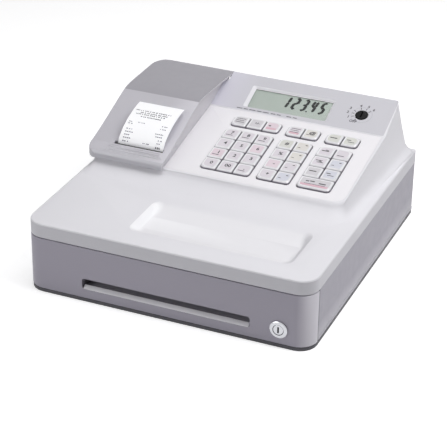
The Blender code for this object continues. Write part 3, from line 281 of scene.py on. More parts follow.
# The switch, the printer frame and the note clips are black acetal, dense and waxy.
black_acetal = moulded("acetal_black", "161618", "1C1C1F", 0.36, grain=0.6, depth=0.006)
# The switch knob is the same resin with a fine matt face, so it stays nearly black.
knob_acetal = moulded("acetal_black_matt_knob", "050506", "0A0A0C", 0.5, grain=0.6, depth=0.01,
                      Specular_IOR_Level=0.15)
print("plastics", [m.name for m in bpy.data.materials if m.name.startswith(("abs", "poly", "acetal"))])

# %% [markdown]
# Light and shade are painted into moulded colours from place to place, and one plain tone too. A second
# colour is mixed in along an axis, so a soft change needs no image.

# %% Painted light and shade by place


def tone_by_place(made, axis, start, end, colour, place=None):
    """Mixes a colour in from start to end along an axis, in the units of the place's coordinates."""
    tree = made.node_tree
    body = tree.nodes["Principled BSDF"].inputs["Base Color"].links[0].from_socket
    parts = add_node(tree, "ShaderNodeSeparateXYZ", {"Vector": place or own_place(tree)})
    share = add_node(tree, "ShaderNodeMapRange", {
        "Value": parts.outputs[axis], "From Min": start, "From Max": end})
    mix_base(tree, share.outputs["Result"], body, linear(colour))


# Painted light and shade: a painted highlight along the drawer's top edge and on its rounded right corner,
# and painted shade in the seam behind that corner. The cover is painted paler towards the keys, as painted
# light from the right, and the foot of the case lighter, as painted light bounced up from the table.
tone_by_place(front_abs, "Z", 65.6 * MM, 66.2 * MM, "D4D1D8")
tone_by_place(front_abs, "X", 148.0 * MM, 161.0 * MM, "D8D5DD")
tone_by_place(front_abs, "Y", -153.2 * MM, -152.6 * MM, "36343B")
tone_by_place(cover_abs, "X", -100.0 * MM, -72.0 * MM, "CCCAD1")
tone_by_place(case_abs, "Z", 26.0 * MM, 8.0 * MM, "BCBAC2")

# The floor of the hollow is mixed a little lighter towards its bottom.
tone_by_place(tray_abs, "Z", 83.4 * MM, 81.0 * MM, "E7E6EA")
# The hollow's end walls are painted by the way they face: the one facing right, towards the right lamp,
# brighter as a painted highlight, and the one facing left darker as painted shade.
facing = add_node(tray_abs.node_tree, "ShaderNodeTexCoord").outputs["Normal"]
tone_by_place(tray_abs, "X", 0.05, 0.3, "F7F7FA", facing)
tone_by_place(tray_abs, "X", -0.05, -0.3, "CBCACF", facing)
print("toned", [made.name for made in (front_abs, cover_abs, case_abs, tray_abs)])

# %% [markdown]
# Both slopes of the cabinet are flat planes. A piece that lies on one is easiest to make flat, in
# millimetres across and up the slope, and then turned onto it. These two frames do that.

# %% Slopes of the keyboard and the display


def slope(y, z, rise):
    """A frame on a slope: X across, Y up the slope and Z out of it, in millimetres."""
    return Matrix.Scale(MM, 4) @ Matrix.Translation((0.0, y, z)) @ Matrix.Rotation(math.atan(rise), 4, "X")


KEYS = slope(-25.0, 98.2, 0.1715)
SCREEN = slope(110.5, 121.438, 0.388)


def on_slope(node_name, surface):
    """Lowest and highest corner of a CAD node, measured along a slope in mm."""
    back = surface.inverted()
    points = [back @ v.co for v in nodes[node_name].data.vertices]
    low = Vector([min(p[i] for p in points) for i in range(3)])
    high = Vector([max(p[i] for p in points) for i in range(3)])
    return low, high


def settle(piece, surface, body, material):
    """Bakes a flat piece onto a slope, gives it its finish and lets it ride on a body."""
    piece.data.transform(surface @ piece.matrix_world)
    piece.matrix_world = Matrix.Identity(4)
    coat(piece, material)
    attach(piece, body)
    return piece


print("key 5 on its slope", [round(c, 1) for c in on_slope("key_left_3_2", KEYS)[0]])

# %% [markdown]
# A small flat piece starts as a plate. Its edges are picked by place and bevelled, and a Boolean modifier
# cuts its openings.

# %% Plates, rounded edges and openings


def add_plate(name, low, high):
    """A box between two corners, as the start of a piece."""
    select_only()
    middle = [(a + b) / 2 for a, b in zip(low, high)]
    bpy.ops.mesh.primitive_cube_add(size=1.0, location=middle, scale=[b - a for a, b in zip(low, high)])
    piece = bpy.context.object
    piece.name = piece.data.name = name
    bpy.ops.object.transform_apply(location=True, rotation=False, scale=True)
    return piece


def round_edges(piece, radius, segments, test):
    """Bevels the edges whose two ends pass a test, in edit mode."""
    select_only(piece)
    bpy.ops.object.mode_set(mode="EDIT")
    bpy.ops.mesh.select_mode(type="EDGE")
    bpy.ops.mesh.select_all(action="DESELECT")
    work = bmesh.from_edit_mesh(piece.data)
    for edge in work.edges:
        edge.select_set(test(*(v.co for v in edge.verts)))
    bmesh.update_edit_mesh(piece.data)
    bpy.ops.mesh.bevel(offset=radius, segments=segments, affect="EDGES")
    bpy.ops.object.mode_set(mode="OBJECT")
    return piece


def round_corners(piece, radius):
    """Rounds the upright edges of a plate."""
    return round_edges(piece, radius, 4, lambda a, b: (a - b).xy.length < 0.001)


def cut_out(piece, cutter):
    """Takes one shape out of another and drops the cutter."""
    step = piece.modifiers.new("opening", "BOOLEAN")
    step.operation = "DIFFERENCE"
    step.solver = "EXACT"
    step.object = cutter
    select_only(piece)
    bpy.ops.object.modifier_apply(modifier=step.name)
    bpy.data.objects.remove(cutter, do_unlink=True)
    return piece

# %% [markdown]
# The CAD solids are loose triangles with hard edges. A copy of one is merged, its flat triangles are joined
# into faces, and curved walls are shaded smooth while true edges stay. The copy then stands for the solid.
# This keeps each piece exactly where it works and still gives it a moulded look.

# %% Dress the CAD solids


def body_of(node_name):
    """The body that a CAD node belongs to."""
    return next(body for body, members in bodies.items() if node_name in members)


def dressed(node_name, name, material, angle=32.0):
    """A merged and smoothed copy of a CAD node, in its place."""
    piece = bpy.data.objects.new(name, nodes[node_name].data.copy())
    bpy.context.scene.collection.objects.link(piece)
    coat(piece, material)
    select_only(piece)
    bpy.ops.object.mode_set(mode="EDIT")
    bpy.ops.mesh.select_all(action="SELECT")
    bpy.ops.mesh.remove_doubles(threshold=0.000002)
    bpy.ops.mesh.dissolve_limited(angle_limit=math.radians(0.5))
    bpy.ops.object.mode_set(mode="OBJECT")
    bpy.ops.object.shade_smooth_by_angle(angle=math.radians(angle))
    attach(piece, body_of(node_name))
    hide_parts(node_name)
    return piece


def paint_faces(piece, material, test):
    """Gives another material to the faces whose middle passes a test."""
    piece.data.materials.append(material)
    index = len(piece.data.materials) - 1
    for face in piece.data.polygons:
        if test(face.center / MM, face.normal):
            face.material_index = index
    return piece


# %% Cabinet and keyboard panel
# Places in mm: the wall beside the printer, the foot of the deck, and the hollow in it.
WALL_X = (-71.5, -69.5)
SKIRT_TOP = 83.0
TRAY = ((-58.0, -147.0), (131.0, -70.0))
TRAY_TOP = 83.6
TRAY_FLOOR = 82.5

cabinet = dressed("top_cabinet", "cabinet_shell", white_abs)
# Painted shade: the white wall beside the printer and the upright faces of the skirt get grey paint.
paint_faces(cabinet, wall_light_and_shade_abs, lambda centre, normal: normal.x > 0.9 and WALL_X[0] < centre.x < WALL_X[1])
paint_faces(cabinet, skirt_shade_abs, lambda centre, normal: abs(normal.z) < 0.3 and centre.z < SKIRT_TOP)


def in_tray(centre, normal):
    """Whether a face belongs to the hollow; the deck's own flat faces round it don't."""
    inside = TRAY[0][0] < centre.x < TRAY[1][0] and TRAY[0][1] < centre.y < TRAY[1][1]
    return inside and centre.z < TRAY_TOP and (centre.z < TRAY_FLOOR or abs(normal.z) < 0.998)


paint_faces(cabinet, tray_abs, in_tray)
panel = dressed("keyboard_panel", "key_panel_shell", panel_abs)
PANEL_MIDDLE = (35.6, 69.3)
PANEL_GROWTH = (1.0033, 1.0052)
PANEL_RIM = (-60.0, 127.5, 12.5, 130.0)


def close_seam(piece):
    """Pushes the panel's rim out by a third of a millimetre, so that its seam is as fine as the real one."""
    for vertex in piece.data.vertices:
        spot = KEYS.inverted() @ vertex.co
        if spot.x < PANEL_RIM[0] or spot.x > PANEL_RIM[1] or spot.y < PANEL_RIM[2] or spot.y > PANEL_RIM[3]:
            for axis in (0, 1):
                spot[axis] = PANEL_MIDDLE[axis] + (spot[axis] - PANEL_MIDDLE[axis]) * PANEL_GROWTH[axis]
            vertex.co = KEYS @ spot


close_seam(panel)
print("cabinet", len(cabinet.data.polygons), "faces")

# %% [markdown]
# Cover, case and drawer front are grey mouldings. Some of their faces are painted by place in lighter or
# darker greys, as painted light and painted shade. What is inside is dark grey or black, as such parts are.

# %% Cover, case and drawer
COVER_TOP = 120.0
COVER_LIP = -20.0
COVER_SIDE = -82.0
SLOT_HALF = 99.5
SLOT_BACK = -157.0
SLOT_Z = (12.0, 39.0)

cover = dressed("printer_cover", "cover_shell", cover_abs)
# Painted shade on the cover's flat top and painted light on its front lip.
paint_faces(cover, cover_top_shade_abs, lambda centre, normal: normal.z > 0.97 and centre.z > COVER_TOP)
paint_faces(cover, cover_lip_light_abs, lambda centre, normal: normal.y < -0.5 and centre.y < COVER_LIP)
# The cover's right side gets the same light grey, lighter than the cover, as painted light from the right.
paint_faces(cover, wall_light_and_shade_abs, lambda centre, normal: normal.x > 0.35 and centre.x > COVER_SIDE)
case = dressed("case_body", "case_shell", case_abs)
front = dressed("drawer_front", "drawer_face_shell", front_abs)
FACE_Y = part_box("drawer_front")[0][1] / MM
# Painted shade: the faces inside the finger slot get the darker grey.
paint_faces(front, slot_shade_abs, lambda centre, normal: abs(centre.x) < SLOT_HALF
            and FACE_Y + 1.0 < centre.y < SLOT_BACK and SLOT_Z[0] < centre.z < SLOT_Z[1])
base = dressed("base_pan", "base_shell", base_abs)
for node_name, name in (("drawer_body", "drawer_box_shell"), ("coin_tray", "coin_tray_shell")):
    dressed(node_name, name, tray_styrene)
dressed("mode_switch", "mode_switch_knob", knob_acetal)
for node_name, name in (("printer_mechanism", "printer_frame"),
                        ("cord_gland", "cord_inlet"), ("note_clip_1", "note_clip_left"),
                        ("note_clip_2", "note_clip_middle"), ("note_clip_3", "note_clip_right")):
    dressed(node_name, name, black_acetal)

# %% [markdown]
# The lock is a chrome-plated zinc casting: a bright mirror with a slight haze. Lever and platen arm are
# zinc-plated steel sheet, whose plating has a faint crystal pattern. The platen is black rubber.

# %% Metals and rubber


def plated(name, colour, roughness, crystal, spread):
    """A plated metal whose crystals, in mm, vary its gloss by a spread."""
    made, tree, shader = new_material(name, colour, roughness, Metallic=1.0)
    cells = add_node(tree, "ShaderNodeTexVoronoi", {"Vector": own_place(tree), "Scale": 1.0 / (crystal * MM)})
    value = add_node(tree, "ShaderNodeSeparateColor", {"Color": cells.outputs["Color"]})
    gloss = add_node(tree, "ShaderNodeMapRange", {
        "Value": value.outputs[0], "To Min": roughness - spread, "To Max": roughness + spread})
    tree.links.new(gloss.outputs["Result"], shader.inputs["Roughness"])
    return made


# Chrome over zinc: cool, near mirror, with hairline haze.
chrome_plate = plated("chrome_plated_zinc", "BDBEC2", 0.2, 0.8, 0.05)
# Zinc-plated steel: greyer, with small spangles.
zinc_steel = plated("zinc_plated_steel", "A9ABAE", 0.36, 3.0, 0.08)
rubber, tree, shader = new_material("rubber_black_ground", "1B1B1C", 0.72, Specular_IOR_Level=0.3)
dust = mottled(tree, "151516", "2A2A2B", 0.8, 4.0)
ground = add_node(tree, "ShaderNodeBump", {"Height": dust, "Distance": 0.03 * MM})
tree.links.new(ground.outputs["Normal"], shader.inputs["Normal"])

lock_ring = dressed("lock_barrel", "lock_ring", chrome_plate)
lock_plug = dressed("lock_rotor", "lock_plug", chrome_plate)
arm = dressed("platen_arm", "platen_arm_plate", zinc_steel)
lever = dressed("release_lever", "release_slider", zinc_steel)
platen = dressed("platen_roller", "platen_rubber", rubber)
print("metal and rubber", [piece.name for piece in (lock_ring, lock_plug, arm, lever, platen)])

# %% [markdown]
# Two circuit boards carry the electronics. Glass-fibre laminate is green because of its solder mask, and
# the copper tracks under it show as lighter lines. Tall parts on the board are black or white mouldings.

# %% Circuit boards
# In mm: the tall parts stand above the main board's top, and the white plug hangs under the front of the
# key board.
BOARD_TOP = 72.2
PLUG_Y = -6.0
PLUG_Z = 92.0

laminate, tree, shader = new_material("glass_fibre_green_mask", "1F5A38", 0.32, Coat_Weight=0.4)
tracks = add_node(tree, "ShaderNodeTexBrick", {
    "Vector": own_place(tree), "Scale": 1.0 / (9.0 * MM), "Mortar Size": 0.06, "Color1": linear("1C5233"),
    "Color2": linear("23623E"), "Mortar": linear("3E8A5C")})
tree.links.new(tracks.outputs["Color"], shader.inputs["Base Color"])
key_board = dressed("key_board", "contact_board", laminate)
main_board = dressed("control_board", "main_board", laminate)
paint_faces(main_board, black_acetal, lambda centre, normal: centre.z > BOARD_TOP)
paint_faces(key_board, panel_abs, lambda centre, normal: centre.y < PLUG_Y
            and centre.z < PLUG_Z and normal.z < 0.5)
print("boards", key_board.name, main_board.name)

# %% [markdown]
# Receipt paper is thin thermal paper, smooth and cool white. On the roll its edge shows as fine rings, one
# for each few turns of paper, so the ring pattern is worked out from the distance to the roll's axis.

# %% Paper
ROLL_AXIS = (96.0, 98.2)
PAPER_PAINTED_GLOW = 0.1

thermal, tree, shader = new_material("thermal_paper", "F8F8FA", 0.62, Specular_IOR_Level=0.35)
# The paper has a faint cold glow of its own, as painted light that makes it brighter.
shader.inputs["Emission Color"].default_value = linear("F4F5FF")
shader.inputs["Emission Strength"].default_value = PAPER_PAINTED_GLOW
mottled(tree, "F6F6F8", "FAFAFB", 1.2, 5.0)

roll_paper, tree, _ = new_material("thermal_paper_wound", "EFEFF1", 0.7)
centred = add_node(tree, "ShaderNodeMapping", {
    "Vector": own_place(tree), "Location": (0.0, -ROLL_AXIS[0] * MM, -ROLL_AXIS[1] * MM)})
rings = add_node(tree, "ShaderNodeTexWave", {
    "Vector": centred.outputs["Vector"], "Scale": 1.0 / (6.0 * MM)}, wave_type="RINGS", rings_direction="X")
mix_base(tree, rings.outputs["Fac"], linear("D9D9DC"), linear("F2F2F4"))
roll = dressed("paper_roll", "receipt_roll", roll_paper)
web = dressed("paper_web", "paper_path", thermal, 60.0)
print("paper", roll.name, web.name)

# %% [markdown]
# The display is a reflective liquid crystal panel behind a clear acrylic lens. The glass looks grey-green
# because light crosses its polariser twice. The lens is nearly invisible apart from its gloss.

# %% Display glass
lens_acrylic, tree, shader = new_material("acrylic_clear_lens", "F4F8F6", 0.1, IOR=1.49, Alpha=0.03)
wipe = add_node(tree, "ShaderNodeMapRange", {
    "Value": clouds(tree, 12.0, 3.0), "To Min": 0.08, "To Max": 0.16})
tree.links.new(wipe.outputs["Result"], shader.inputs["Roughness"])
lcd_cell, tree, _ = new_material("lcd_reflective_cell", "ABB5AE", 0.6)
mottled(tree, "A4B0A8", "AFB7B1", 40.0, 1.0)
lens = dressed("display_window", "display_lens_plate", lens_acrylic)
lcd = dressed("lcd_module", "lcd_glass_module", lcd_cell)
paint_faces(lcd, laminate, lambda centre, normal: normal.z < 0.5)
print("display", lens.name, lcd.name)

# %% [markdown]
# A light grey film covers the display slope from the printer to the right edge. It is a printed polycarbonate
# sheet with one window for the glass and a round hole for the switch. It is cut from a plate, as a die would
# cut it. A white strip lies along the top of the lens as painted light: it stands for the lit top of the
# bezel and hides the shaded gap over the glass.

# %% Film round the display
FILM = ((-70.2, 0.5), (142.4, 58.4))
FILM_NOTCH = ((-80.0, 43.6), (-64.1, 70.0))
FILM_WINDOW = ((-32.2, 6.3), (71.4, 42.4))
SWITCH = (107.7, 26.2)
FILM_Z = (0.02, 0.17)
SWITCH_HOLE = 8.1
CUT = 2.0

film_print, tree, shader = new_material("polycarbonate_film_printed", "CAC9CF", 0.4, Coat_Weight=0.1)
mottled(tree, "C4C3CA", "C8C7CD", 60.0)
# The print is mixed lighter and a little more violet towards the printer, as painted light that lifts the
# cover's shadow there.
tone_by_place(film_print, "X", -25.0 * MM, -70.0 * MM, "CFCDD9")
velvet = add_node(tree, "ShaderNodeBump", {"Height": clouds(tree, 0.5, 1.0), "Distance": 0.006 * MM})
tree.links.new(velvet.outputs["Normal"], shader.inputs["Normal"])
film = round_corners(add_plate("display_film", (*FILM[0], FILM_Z[0]), (*FILM[1], FILM_Z[1])), 1.5)
window = add_plate("film_window", (*FILM_WINDOW[0], -CUT), (*FILM_WINDOW[1], CUT))
cut_out(film, round_corners(window, 2.0))
cut_out(film, add_plate("film_notch", (*FILM_NOTCH[0], -CUT), (*FILM_NOTCH[1], CUT)))
select_only()
bpy.ops.mesh.primitive_cylinder_add(vertices=40, radius=SWITCH_HOLE, depth=2 * CUT,
                                    location=(*SWITCH, 0.0))
cut_out(film, bpy.context.object)
settle(film, SCREEN, "cabinet", film_print)
print("film", len(film.data.polygons), "faces")

# %% Border of the lens
BORDER = ((-29.5, 38.9), (69.5, 41.9))
BORDER_THICK = 0.06

lens_low, lens_high = on_slope("display_window", SCREEN)
border_z = lens_high.z + 0.01
# The white strip is painted light over the shaded gap above the glass.
border = add_plate("lens_top_painted_light_strip", (*BORDER[0], border_z), (*BORDER[1], border_z + BORDER_THICK))
settle(round_corners(border, 0.7), SCREEN, "cabinet", panel_abs)
print("lens", [round(c, 1) for c in (*lens_low, *lens_high)])

# %% [markdown]
# Numbers on a liquid crystal panel are seven bars each, slanted to the right. One bar with pointed ends is
# made from a six-sided disc, and copied to every lit place of the figures. Their amount is only an example.

# %% Shapes of the figures
CELL_W = 7.4
CELL_H = 20.4
BAR = 3.5
BAR_OVERLAP = 1.2
LEAN = math.tan(math.radians(8.1))
DIGIT_XS = (15.2, 26.25, 37.3, 48.35, 59.4)
DIGIT_V = 28.0
DOT = (42.1, 18.6)
LCD_TOP = -2.86
BARS = {"1": "bc", "2": "abged", "3": "abgcd", "4": "fgbc", "5": "afgcd"}

lcd_ink, tree, _ = new_material("lcd_dark_segment", "060708", 0.6, Specular_IOR_Level=0.1)
mottled(tree, "040506", "0A0B0D", 8.0)


def lcd_bar(length, flat):
    """One pointed bar round the origin, lying or standing."""
    select_only()
    bpy.ops.mesh.primitive_circle_add(vertices=6, radius=0.5, fill_type="NGON")
    bar = bpy.context.object
    points = [(-0.5, 0.0), (-0.5 + 0.5 * BAR / length, 0.5), (0.5 - 0.5 * BAR / length, 0.5), (0.5, 0.0),
              (0.5 - 0.5 * BAR / length, -0.5), (-0.5 + 0.5 * BAR / length, -0.5)]
    for vertex, (a, b) in zip(bar.data.vertices, points):
        vertex.co = (a * length, b * BAR, 0.0) if flat else (b * BAR, a * length, 0.0)
    return bar


def join_pieces(name, pieces):
    """Joins finished shapes into one piece."""
    select_only(*pieces)
    if len(pieces) > 1:
        bpy.ops.object.join()
    pieces[0].name = pieces[0].data.name = name
    return pieces[0]


def upright(obj):
    """Turns flat faces so that they all point along +Z."""
    select_only(obj)
    bpy.ops.object.mode_set(mode="EDIT")
    bpy.ops.mesh.select_all(action="SELECT")
    work = bmesh.from_edit_mesh(obj.data)
    for face in work.faces:
        face.normal_update()
        if face.normal.z < 0.0:
            face.normal_flip()
    bmesh.update_edit_mesh(obj.data)
    bpy.ops.object.mode_set(mode="OBJECT")
    return obj


# %% Lit bars
half_w, half_h = (CELL_W - BAR) / 2, (CELL_H - BAR) / 2
spots = {"a": (0, half_h, True), "g": (0, 0, True), "d": (0, -half_h, True),
         "f": (-half_w, half_h / 2, False), "b": (half_w, half_h / 2, False),
         "e": (-half_w, -half_h / 2, False), "c": (half_w, -half_h / 2, False)}
lying, standing = lcd_bar(CELL_W - BAR + BAR_OVERLAP, True), lcd_bar(half_h + BAR_OVERLAP, False)
lit = []
for figure, x in zip("12345", DIGIT_XS):
    for letter in BARS[figure]:
        dx, dv, flat = spots[letter]
        bar = bpy.data.objects.new("bar", (lying if flat else standing).data.copy())
        bpy.context.scene.collection.objects.link(bar)
        for vertex in bar.data.vertices:
            vertex.co += Vector((x + dx, DIGIT_V + dv, LCD_TOP))
            vertex.co.x += LEAN * (vertex.co.y - DIGIT_V)
        lit.append(bar)
select_only()
bpy.ops.mesh.primitive_circle_add(vertices=12, radius=1.1, fill_type="NGON", location=(*DOT, LCD_TOP))
bpy.ops.object.transform_apply(location=True)
lit.append(bpy.context.object)
for pattern in (lying, standing):
    bpy.data.objects.remove(pattern, do_unlink=True)
figures = settle(upright(join_pieces("display_figures", lit)), SCREEN, "cabinet", lcd_ink)
print("figures", len(figures.data.polygons), "bars")

# %% [markdown]
# Under the glass and round the key switch the film carries small dark print. The switch has a thin ring with
# one tick for each position, and the ticks are numbered, as on any dial. Text starts as a flat text object
# and is made a mesh, because only a mesh can be laid onto the slope and joined with the rest.

# %% Print on the film
# In mm: how high the print lies, a tick's place and its length and width, and the ring's radius and width.
FILM_FACE = 0.2
TICK_OUT = 10.4
TICK = (2.8, 0.9)
RING = (12.4, 0.35)
MARK_SIZE = 5.2
LAMP_ROW = 2.6
# Turn of each mark round the switch, how far out its text stands in mm, and the text.
SWITCH_MARKS = ((241.0, 13.6, "OFF"), (203.0, 15.4, "1"), (176.0, 17.0, "2"), (153.0, 17.6, "3"),
                (110.0, 15.0, "4"), (74.0, 15.0, "5"), (44.0, 15.8, "6"))
LAMP_WORDS = ((-38.0, 7.0), (-29.5, 5.5), (-22.5, 8.0), (-13.0, 6.0), (-5.5, 7.5), (4.5, 6.0), (12.0, 5.0),
              (24.0, 6.0), (32.0, 5.0))

screen_ink, tree, _ = new_material("screen_ink_dark_grey", "3C3943", 0.5)
mottled(tree, "35323C", "4A4751", 2.5, 3.0)


def letters(text, size, x, v, w):
    """A word as flat faces round a point, in mm."""
    select_only()
    bpy.ops.object.text_add(location=(0.0, 0.0, 0.0))
    word = bpy.context.object
    word.data.body = text
    word.data.size = size
    word.data.align_x, word.data.align_y = "CENTER", "CENTER"
    word.data.resolution_u = 2
    word.data.offset = 0.028 * size
    bpy.ops.object.convert(target="MESH")
    word.data.transform(Matrix.Translation((x, v, w)))
    return word


def dash(x, v, w, wide, high, turn=0.0):
    """A short printed bar round a point, in mm."""
    select_only()
    bpy.ops.mesh.primitive_plane_add(size=1.0)
    bar = bpy.context.object
    bar.data.transform(Matrix.Translation((x, v, w)) @ Matrix.Rotation(turn, 4, "Z")
                       @ Matrix.Diagonal((wide, high, 1.0, 1.0)))
    return bar


# %% Marks round the switch
marks = []
for turn, out, text in SWITCH_MARKS:
    across, up = math.cos(math.radians(turn)), math.sin(math.radians(turn))
    marks.append(dash(SWITCH[0] + TICK_OUT * across, SWITCH[1] + TICK_OUT * up, FILM_FACE, *TICK,
                      math.radians(turn)))
    marks.append(letters(text, MARK_SIZE, SWITCH[0] + out * across, SWITCH[1] + out * up, FILM_FACE))
for start, width in LAMP_WORDS:
    marks.append(dash(start + width / 2, LAMP_ROW, FILM_FACE, width, 1.1))
film_marks = settle(upright(join_pieces("film_marks", marks)), SCREEN, "cabinet", screen_ink)
print("film marks", len(film_marks.data.polygons), "faces")

# %% Ring of the dial
ring_ink, tree, _ = new_material("screen_ink_pale_ring", "A9A8B0", 0.45)
mottled(tree, "A3A2AB", "B0AFB7", 3.0)
select_only()
bpy.ops.mesh.primitive_circle_add(vertices=48, radius=RING[0], fill_type="NGON",
                                  location=(*SWITCH, FILM_FACE))
bpy.ops.object.mode_set(mode="EDIT")
bpy.ops.mesh.inset(thickness=RING[1])
bpy.ops.mesh.delete(type="FACE")
bpy.ops.object.mode_set(mode="OBJECT")
bpy.ops.object.transform_apply(location=True)
ring = bpy.context.object
ring.name = ring.data.name = "switch_dial_ring"
settle(upright(ring), SCREEN, "cabinet", ring_ink)
print("ring", len(ring.data.polygons), "faces")

# %% [markdown]
# The keys are clear caps over printed paper cards, the way small tills let their owner relabel them. The CAD
# cap has the right shape, so a copy of it is used and its faces are painted by place: the steep walls are
# painted dark as painted shade, for clear resin that bends the light from the gap into them. The sloped
# shoulders catch the lamps, and the flat floor of the dish shows the card.

# %% Key materials
# Styrene-acrylonitrile resin, moulded and polished: near white over paper, with sharp highlights.
cap_resin = moulded("san_resin_polished_cap", "E6E5E9", "EAE9EC", 0.22, grain=1.2, depth=0.004, edge=0.25,
                    Coat_Weight=0.25, Coat_Roughness=0.1)
# Painted shade: the same resin seen edge on, painted dark where it swallows light.
cap_wall_shade = moulded("san_resin_cap_wall_painted_shade", "86828C", "918D97", 0.35, grain=1.2, depth=0.004, edge=0.2)
SHOULDER_FOOT = (1.45, 2.35)

tree = cap_resin.node_tree
flat = add_node(tree, "ShaderNodeMapping", {
    "Vector": own_place(tree), "Location": KEYS.to_translation(), "Rotation": KEYS.to_euler(),
    "Scale": (MM, MM, MM)}, vector_type="TEXTURE")
# The foot of the shoulders, in mm out of the slope, is painted in the edge-on tone too, as painted shade.
tone_by_place(cap_resin, "Z", SHOULDER_FOOT[1], SHOULDER_FOOT[0], "8B8791", flat.outputs["Vector"])


def key_card(name, low, high):
    """A printed paper card seen through the polished floor of a cap; paper fibre makes it faintly cloudy."""
    made, tree, _ = new_material(name, low, 0.5, Coat_Weight=0.7, Coat_Roughness=0.08)
    mottled(tree, low, high, 3.5, 4.0)
    return made


cards = {
    "lilac": key_card("card_paper_lilac", "CFC9D1", "DAD4DB"),
    "rose": key_card("card_paper_rose", "D6C6D0", "DECFD7"),
    "sage": key_card("card_paper_sage", "CBCBC6", "D3D3CE"),
    "blue": key_card("card_paper_blue", "C9CAD6", "D1D2DC"),
    "cream": key_card("card_paper_cream", "D4D0CC", "DAD7D3"),
    "grey": key_card("card_paper_grey", "C6C3C8", "CFCCD1"),
}
band_rose = key_card("card_print_rose_band", "CFA6B4", "D6B2BE")
key_ink = key_card("card_print_black", "1C1A20", "28252D")
print("cards", list(cards))

# %% [markdown]
# The legends are generic: digits and the point on the left block, signs and plain bars on the others. Each
# legend is made flat round its own key, then joined to the cap, so that it goes down with the key.

# %% Legends
CARD_LIFT = 0.04
DISH_DEEP = 0.35
# In mm: the size of one or two signs and of longer text, then a band's margin, and its place and height.
LEGEND_SIZES = (7.4, 5.2)
BAND_MARGIN = 6.4
BAND = (5.0, 3.6)
DIGITS = {"1": "0 00 .", "2": "1 2 3", "3": "4 5 6", "4": "7 8 9"}
SIGNS = {"middle_1_1": "+", "middle_2_1": "-", "middle_3_1": "%", "middle_4_1": "#", "right_4_1": "=",
         "middle_top_2": "@", "left_top_2": "+/-", "right_3_1": "x"}
TINTS = {"left_top_1": "grey", "left_top_2": "grey", "left_top_3": "rose",
         "left_2_1": "rose", "left_3_3": "rose",
         "middle_top_2": "cream", "middle_3_2": "cream", "middle_4_1": "sage", "middle_4_2": "cream",
         "middle_2_1": "rose", "middle_1_2": "blue", "right_top_1": "sage", "right_top_2": "sage",
         "right_2_1": "grey", "right_2_2": "blue", "right_3_2": "blue", "right_1_1": "grey"}
BANDS = ("left_top_3", "middle_top_1", "right_1_1")
# Bars of a legend: place across and up from the key's middle, then width and height, in mm.
BAR_SETS = {
    "lines": ((0.0, 4.0, 11.0, 0.9), (-0.5, 0.6, 10.0, 0.9), (0.0, -2.8, 10.5, 0.9)),
    "under": ((-1.2, -3.6, 8.0, 1.0),), "pair": ((-2.4, 1.6, 5.0, 1.3), (1.0, -2.0, 7.5, 1.0)),
    "word": ((-0.6, 0.6, 8.5, 1.5),), "dot": ((-3.4, 0.6, 2.4, 2.2),),
    "corner": ((3.6, 3.4, 2.6, 1.3), (-3.4, -2.6, 3.0, 0.9)),
    "wide": ((-9.5, 1.8, 4.0, 1.6), (-4.0, 2.4, 5.5, 1.6), (8.0, 0.6, 8.0, 1.8), (0.0, -2.6, 24.0, 0.6)),
}
BARS_OF = {"left_top_1": "lines", "left_4_1": "under", "left_4_2": "under", "left_4_3": "under",
           "left_2_1": "under", "left_1_3": "under", "left_top_3": "dot",
           "middle_top_1": "lines", "middle_top_2": "corner",
           "middle_1_2": "corner", "middle_2_2": "corner", "middle_3_2": "corner", "middle_4_2": "corner",
           "right_top_1": "word", "right_top_2": "pair", "right_4_1": "word", "right_4_2": "under",
           "right_3_1": "pair", "right_3_2": "corner", "right_2_1": "word", "right_2_2": "pair",
           "right_1_1": "wide"}
key_up = (KEYS.to_3x3() @ Vector((0.0, 0.0, 1.0))).normalized()


def legend_text(label):
    """The sign or digit printed on a key, if it has one."""
    block, row, column = label.split("_")
    if block == "left" and row in DIGITS:
        return DIGITS[row].split()[int(column) - 1]
    return SIGNS.get(label)


def legend_shapes(label, middle, floor_w):
    """The flat shapes of one key's legend."""
    x, v = middle
    text = legend_text(label)
    raised = 1.2 if label in BARS_OF else 0.3
    size = LEGEND_SIZES[len(text or "") > 2]
    shapes = [letters(text, size, x + 1.0, v + raised, floor_w)] if text else []
    bars = BAR_SETS.get(BARS_OF.get(label), ())
    return shapes + [dash(x + dx, v + dv, floor_w, wide, high) for dx, dv, wide, high in bars]


print("legend of key 5", legend_text("left_3_2"))

# %% Keys


def dress_key(node_name):
    """One cap with its card, its walls and its legend."""
    label = node_name[4:]
    low, high = on_slope(node_name, KEYS)
    middle = ((low.x + high.x) / 2, (low.y + high.y) / 2)
    key = dressed(node_name, "cap_" + label, cap_resin)
    # Painted shade on the cap's steep walls.
    paint_faces(key, cap_wall_shade, lambda centre, normal: abs(normal.dot(key_up)) < 0.1)
    paint_faces(key, cards[TINTS.get(label, "lilac")], lambda centre, normal: normal.dot(key_up) > 0.985)
    floor_w = high.z - DISH_DEEP + CARD_LIFT
    shapes = [(shape, key_ink) for shape in legend_shapes(label, middle, floor_w)]
    if label in BANDS:
        wide = high.x - low.x - BAND_MARGIN
        shapes.append((dash(middle[0], low.y + BAND[0], floor_w - 0.02, wide, BAND[1]), band_rose))
    for shape, ink in shapes:
        upright(shape)
        shape.data.transform(KEYS)
        coat(shape, ink)
    join_pieces(key.name, [key] + [shape for shape, _ in shapes])
    return key


keys = [dress_key(name) for name in sorted(nodes) if name.startswith("key_") and name != "key_board"]
print("keys", len(keys), "faces", sum(len(key.data.polygons) for key in keys))

# %% [markdown]
# The receipt is a strip of thermal paper that comes up out of the slot and leans back over the cover, as
# paper off a roll does. A grid is bent along a smooth line through the places where the sheet was seen, and
# given a thickness that shows at its edge. The print is small flat dashes that follow the same line, so none
# floats.

